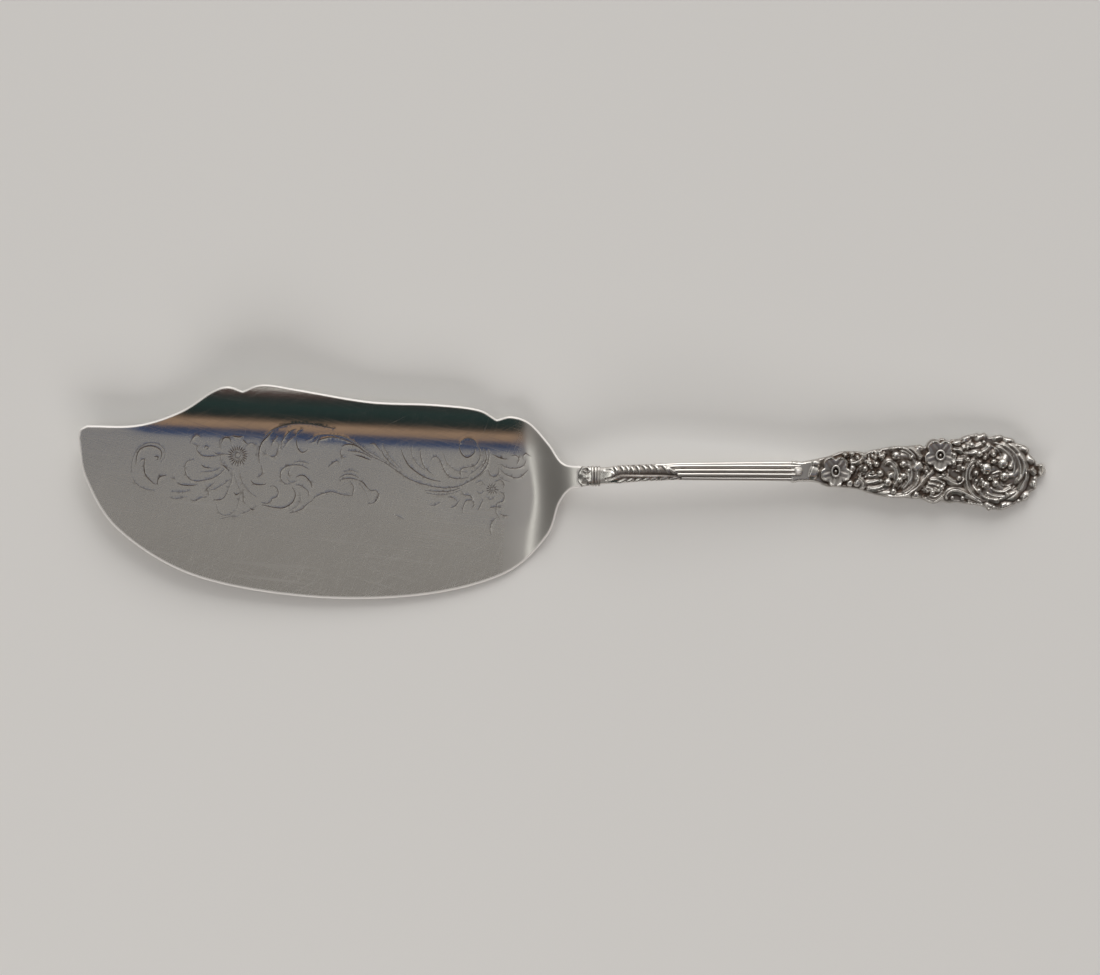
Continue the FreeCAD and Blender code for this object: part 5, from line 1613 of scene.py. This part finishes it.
@dataclass
class CarvedEnd:
    """Broad end of the handle: scrolls, fingers of acanthus, two blossoms and a whirl of leaves."""

    ground: float = 2.15
    crest: float = 4.15
    plain_top: float = 2.9
    root_top: float = 3.25
    fullness: float = 1.2
    border: float = 0.75
    border_foot: float = 1.0
    step: float = 0.21
    margin: float = 0.16
    back_step: float = 1.0
    back_margin: float = 0.5
    back_round: float = 0.8
    back_rise: float = 0.55
    lowest: float = 0.05
    sweep_width: float = 0.42
    sweep_foot: float = 2.8
    resting_oxide: float = 0.28
    darkest: float = 0.92
    brushing: float = 0.5
    wire: float = 0.26
    heart_bead: float = 0.45
    bosses: tuple[tuple[float, float, float, float], ...] = ((56.4, 0.8, 1.9, 2.0),)
    swells: tuple[tuple[float, float, float, float], ...] = ((58.5, -0.5, 8.5, 6.8), (26.5, -0.8, 7.5, 5.2))
    knob: tuple[float, float, float, float] = (-0.7, 0.0, 1.5, 1.35)
    blossoms: tuple[Blossom, ...] = (
        Blossom((10.66, -0.06), 4.75, 1.15, 1.6), Blossom((42.4, 4.8), 4.85, 1.25, 1.4),
    )

    def outline(self) -> np.ndarray:
        """Outline of the end seen from above, anticlockwise, in millimetres from the neck."""
        rows = np.vstack([SHEET.place(END_TOP), SHEET.place(END_BOTTOM)])
        return smooth_line(rows, 0.3, closed=True)[::-1]

    def back(self, x: np.ndarray) -> np.ndarray:
        """Height of the plain back at each distance from the neck."""
        return np.maximum(HANDLE.root_lift() - (x - HANDLE.stem) * math.tan(HANDLE.end_tilt), self.lowest)

    def strokes(self) -> list[Stroke]:
        """All raised strokes of the carving."""
        groups = (
            (StrokeKind.RIM, SCROLL_RIMS, self.crest - 0.35, 2.6),
            (StrokeKind.FINGER, FINGERS, self.crest, 2.3),
            (StrokeKind.TIP, EDGE_TIPS, self.crest - 0.75, 1.7),
            (StrokeKind.LEAF, SMALL_LEAVES, self.crest - 0.1, 0.1),
        )
        strokes = [
            Stroke(kind, width * self.fullness, height, points, foot)
            for kind, rows, height, foot in groups for width, points in rows
        ]
        root = np.array([HANDLE.stem, 0.0])
        for line in SWEEPS:
            points = SHEET.place(line) - root
            height = self.crest - 0.8
            strokes.append(Stroke(StrokeKind.RIM, self.sweep_width, height, points, self.sweep_foot))
        return strokes

    def carve(self, places: np.ndarray) -> np.ndarray:
        """Height of the carved front over the back.

        Args:
            places: rows of x and y from the neck.

        Returns:
            Height at each place.
        """
        local = places - np.array([HANDLE.stem, 0.0])
        level = np.full(len(places), self.ground)
        for blossom in self.blossoms:
            blossom.raise_on(local, level, self.ground, self.crest - 0.2)
        for stroke in self.strokes():
            stroke.raise_on(local, level, self.ground)
        domes = [(*boss, self.crest + 0.1) for boss in self.bosses]
        domes += [(*self.knob, self.crest + 0.35)]
        domes += [(*swell, self.ground + 0.3) for swell in self.swells]
        for x, y, long, wide, top in domes:
            away = np.hypot((local[:, 0] - x) / long, (local[:, 1] - y) / wide)
            dome = np.sqrt(np.clip(1 - away ** 2, 0, 1))
            level = np.maximum(level, self.ground + (top - self.ground) * dome)
        root = np.clip(1.3 - local[:, 0] / 5.5, 0, 1)
        return np.maximum(level, self.ground + root * (self.root_top - self.ground))

    def patina(self, flat: np.ndarray, faces: np.ndarray, level: np.ndarray, edge: np.ndarray) -> np.ndarray:
        """Oxide in the hollows of the carving with the painted shade of the blossoms' folds, none at the
        border and little at the root.

        Args:
            flat: rows of x and y from the neck.
            faces: rows of three corner numbers.
            level: height of the carving at each corner.
            edge: distance of each corner from the outline.

        Returns:
            Darkness of each corner.
        """
        local = flat - np.array([HANDLE.stem, 0.0])
        soft = settled(flat, faces, level, 20)
        deep = np.clip((self.plain_top - 0.1 - level) / 0.9, 0, 1)
        # Painted shade of the blossoms' folds
        shade = np.maximum.reduce([blossom.shade(local) for blossom in self.blossoms])
        dark = np.clip(self.resting_oxide + shade + 0.5 * deep + (soft - level) * 2.1, 0, self.darkest)
        return dark * (np.clip(edge * 1.8, 0.1, 1) * np.clip(0.15 + local[:, 0] / 9, 0, 1))

    def build(self, bench: Bench) -> bpy.types.Object:
        """Mesh of the carved end.

        Args:
            bench: where the finished mesh goes.

        Returns:
            The object.
        """
        outline = self.outline()
        flat, faces = triangles_between(outline, honeycomb(outline, self.step, self.margin))
        edge, _ = nearest(outline, flat, closed=True)
        roll = rounded(edge, self.border)
        full = np.maximum(self.carve(flat), self.plain_top - 0.8 * edge / self.border)
        level = settled(flat, faces, self.border_foot + (full - self.border_foot) * roll, 1)
        top = self.back(flat[:, 0]) + level
        low_flat, low_faces = triangles_between(outline, honeycomb(outline, self.back_step, self.back_margin))
        low_edge, _ = nearest(outline, low_flat, closed=True)
        low = self.back(low_flat[:, 0]) + self.back_rise * (1 - rounded(low_edge, self.back_round))
        corners, all_faces = closed_shell(outline, (flat, faces, top), (low_flat, low_faces, low))
        away = np.hypot(flat[:, 0] - HANDLE.stem - self.knob[0], flat[:, 1] - self.knob[1])
        back = (0, len(low))
        return bench.object_from(
            "carved_end", corners, all_faces, 75.0,
            patina=np.pad(self.patina(flat, faces, level, edge), back),
            # Painted highlight: a near-white spot on top of the knob
            rub=np.pad(0.8 * np.clip(1.3 - away, 0, 1), back),
            satin=np.full(len(corners), self.brushing),
        )

    def beads(self, bench: Bench) -> bpy.types.Object:
        """Beads of the carving and of the blossoms.

        Args:
            bench: where the finished mesh goes.

        Returns:
            The object.
        """
        rows = [(*place, radius, self.plain_top + 0.3) for radius, place in BEADS]
        rows += [(*blossom.centre, self.heart_bead, self.crest - 0.75) for blossom in self.blossoms]
        table = np.array(rows)
        corners = table[:, [0, 1, 3]].copy()
        corners[:, 0] += HANDLE.stem
        corners[:, 2] += self.back(corners[:, 0])
        piece = bench.object_from("beads", corners, [])
        write_layer(piece.data, "bead_radius", table[:, 2] * METRES)
        tree = Tree("beads", {"Fineness": ("Int", 3)})
        ball = tree.add("GeometryNodeMeshIcoSphere", {"Subdivisions": tree.source["Fineness"], "Radius": 1.0})
        balls = tree.copies(tree.source["Geometry"], ball.outputs[0], tree.stored("bead_radius"))
        tree.finish(balls, bench.silver)
        return tree.run(bench, piece)

    def hearts(self, bench: Bench) -> bpy.types.Object:
        """Round wires of the two blossoms' hearts.

        Args:
            bench: where the finished mesh goes.

        Returns:
            The object.
        """
        corners, sizes = [], []
        for blossom in self.blossoms:
            x = HANDLE.stem + blossom.centre[0]
            height = float(self.back(np.array([x]))[0]) + self.crest - 0.35
            corners.append((x, blossom.centre[1], height))
            sizes.append((blossom.ring_along * METRES, blossom.ring_across * METRES, METRES))
        piece = bench.object_from("blossom_hearts", np.array(corners), [])
        write_layer(piece.data, "ring_size", np.array(sizes))
        tree = Tree("blossom_hearts", {"Wire": ("Float", self.wire)})
        ring = tree.tube(tree.circle(48), tree.source["Wire"], 12)
        rings = tree.copies(tree.source["Geometry"], ring, tree.stored("ring_size", "FLOAT_VECTOR"))
        tree.finish(rings, bench.silver)
        return tree.run(bench, piece)


# The room that the silver mirrors, from its far side to its near one: place in the ramp, and colour
ROOM = (
    (0.0, (0.95, 0.93, 0.9)), (0.15, (0.98, 0.96, 0.93)), (0.26, (0.6, 0.59, 0.57)),
    (0.37, (0.145, 0.137, 0.128)), (0.42, (0.155, 0.143, 0.13)), (0.47, (0.29, 0.277, 0.26)),
    (0.555, (0.3, 0.29, 0.275)), (0.585, (0.042, 0.068, 0.15)), (0.69, (0.045, 0.06, 0.105)),
    (0.715, (0.28, 0.19, 0.13)), (0.785, (0.33, 0.225, 0.155)), (0.815, (0.13, 0.09, 0.065)),
    (0.845, (0.016, 0.024, 0.024)), (0.95, (0.022, 0.042, 0.04)), (0.985, (0.03, 0.036, 0.035)),
    (1.0, (0.09, 0.06, 0.055)),
)


@dataclass(frozen=True)
class Studio:
    """Camera straight above, soft lights and a pale floor."""

    view_centre: Point = (550.0, 487.5)
    view_width: float = 1100.0
    sensor: float = 36.0
    lens: float = 150.0
    far_clip: float = 50.0
    table: float = 5.0
    floor_reach: float = 3.0
    floor_gap: float = 0.00005
    wall: tuple[float, float, float] = (0.29, 0.28, 0.268)
    wall_span: Point = (-0.15, -0.42)
    shade_span: Point = (-0.85, -0.5)
    shade: float = 0.2

    def build(self, bench: Bench) -> None:
        """Set up the view, the light and the floor.

        Args:
            bench: gives the shift from the neck to the frame.
        """
        scene = bpy.context.scene
        scene.view_settings.view_transform = "Standard"
        centre = SHEET.place([self.view_centre])[0] * METRES
        width = self.view_width * SHEET.unit * METRES
        camera = bpy.data.cameras.new("camera")
        camera.sensor_width = self.sensor
        camera.lens = self.lens
        camera.clip_end = self.far_clip
        height = width * self.lens / self.sensor + self.table * METRES
        eye = put_in_scene("camera", camera)
        eye.location = (centre[0] + bench.shift.x, centre[1] + bench.shift.y, height)
        scene.camera = eye
        self.floor()
        self.lamp("window", (-0.85, 0.05, 1.5), (1.2, 0.5), 2.1, (0.98, 1.0, 0.96))
        self.lamp("fill", (0.15, 1.5, 1.1), (1.1, 1.2), 9.5, (1.0, 0.99, 0.98))
        near = self.lamp("near", (-0.1, -1.6, 0.8), (2.0, 0.8), 17.0, (1.0, 0.97, 0.95))
        near.visible_glossy = False
        self.world()

    def floor(self) -> None:
        """Plain pale floor, a hair below the server."""
        mesh = bpy.data.meshes.new("floor")
        reach = self.floor_reach
        corners = ((-reach, -reach, 0), (reach, -reach, 0), (reach, reach, 0), (-reach, reach, 0))
        mesh.from_pydata(corners, [], [(0, 1, 2, 3)])
        mesh.materials.append(FloorFinish().build())
        floor = put_in_scene("floor", mesh)
        floor.location.z = -self.floor_gap

    def lamp(
        self, name: str, place: tuple[float, float, float], size: tuple[float, float], power: float,
        colour: tuple[float, float, float],
    ) -> bpy.types.Object:
        """Soft rectangular lamp that faces the server.

        Args:
            name: name of the lamp.
            place: where it hangs, in metres.
            size: its two sides, in metres.
            power: its power in watts.
            colour: its colour.

        Returns:
            The lamp.
        """
        light = bpy.data.lights.new(name, "AREA")
        light.shape = "RECTANGLE"
        light.size, light.size_y = size
        light.energy = power
        light.color = colour
        lamp = put_in_scene(name, light)
        lamp.location = place
        lamp.rotation_euler = (-Vector(place)).to_track_quat("-Z", "Y").to_euler()
        return lamp

    def world(self) -> None:
        """Soft room, light on the far side and dark on the near one, with coloured bands between."""
        world = bpy.data.worlds.new("room")
        bpy.context.scene.world = world
        world.use_nodes = True
        wiring = Wiring(world.node_tree)
        place = wiring.add("ShaderNodeTexCoord").outputs["Generated"]
        parts = wiring.add("ShaderNodeSeparateXYZ", {"Vector": place}).outputs
        near = wiring.sum_of("MULTIPLY_ADD", parts["Y"], -0.5, 0.5)
        ramp = wiring.add("ShaderNodeValToRGB", {"Fac": near})
        stops = ramp.color_ramp.elements
        stops[0].color = opaque(ROOM[0][1])
        stops[1].color = opaque(ROOM[-1][1])
        for position, colour in ROOM[1:-1]:
            stops.new(position).color = opaque(colour)
        beside = wiring.mapped(parts["X"], self.wall_span)
        wall = wiring.blend(beside, ramp.outputs["Color"], opaque(self.wall), "LIGHTEN")
        side = wiring.mapped(parts["X"], self.shade_span, (self.shade, 1.0))
        background = world.node_tree.nodes["Background"].inputs
        wiring.feed(background["Color"], wiring.blend(side, opaque((0.0, 0.0, 0.0)), wall))
        background["Strength"].default_value = 1.0


def main() -> None:
    """Build the pieces in order, then the studio."""
    logging.basicConfig(level=logging.INFO, format="%(name)s: %(message)s")
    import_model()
    bench = Bench.from_frame(SilverFinish().build())
    blade, stem, carved_end = Blade(), Stem(), CarvedEnd()
    makers = (
        blade.build, stem.build, stem.rings, stem.reeds,
        carved_end.build, carved_end.beads, carved_end.hearts,
    )
    for make in makers:
        bench.hand_over(make(bench))
    Studio().build(bench)


if __name__ == "__main__":
    main()
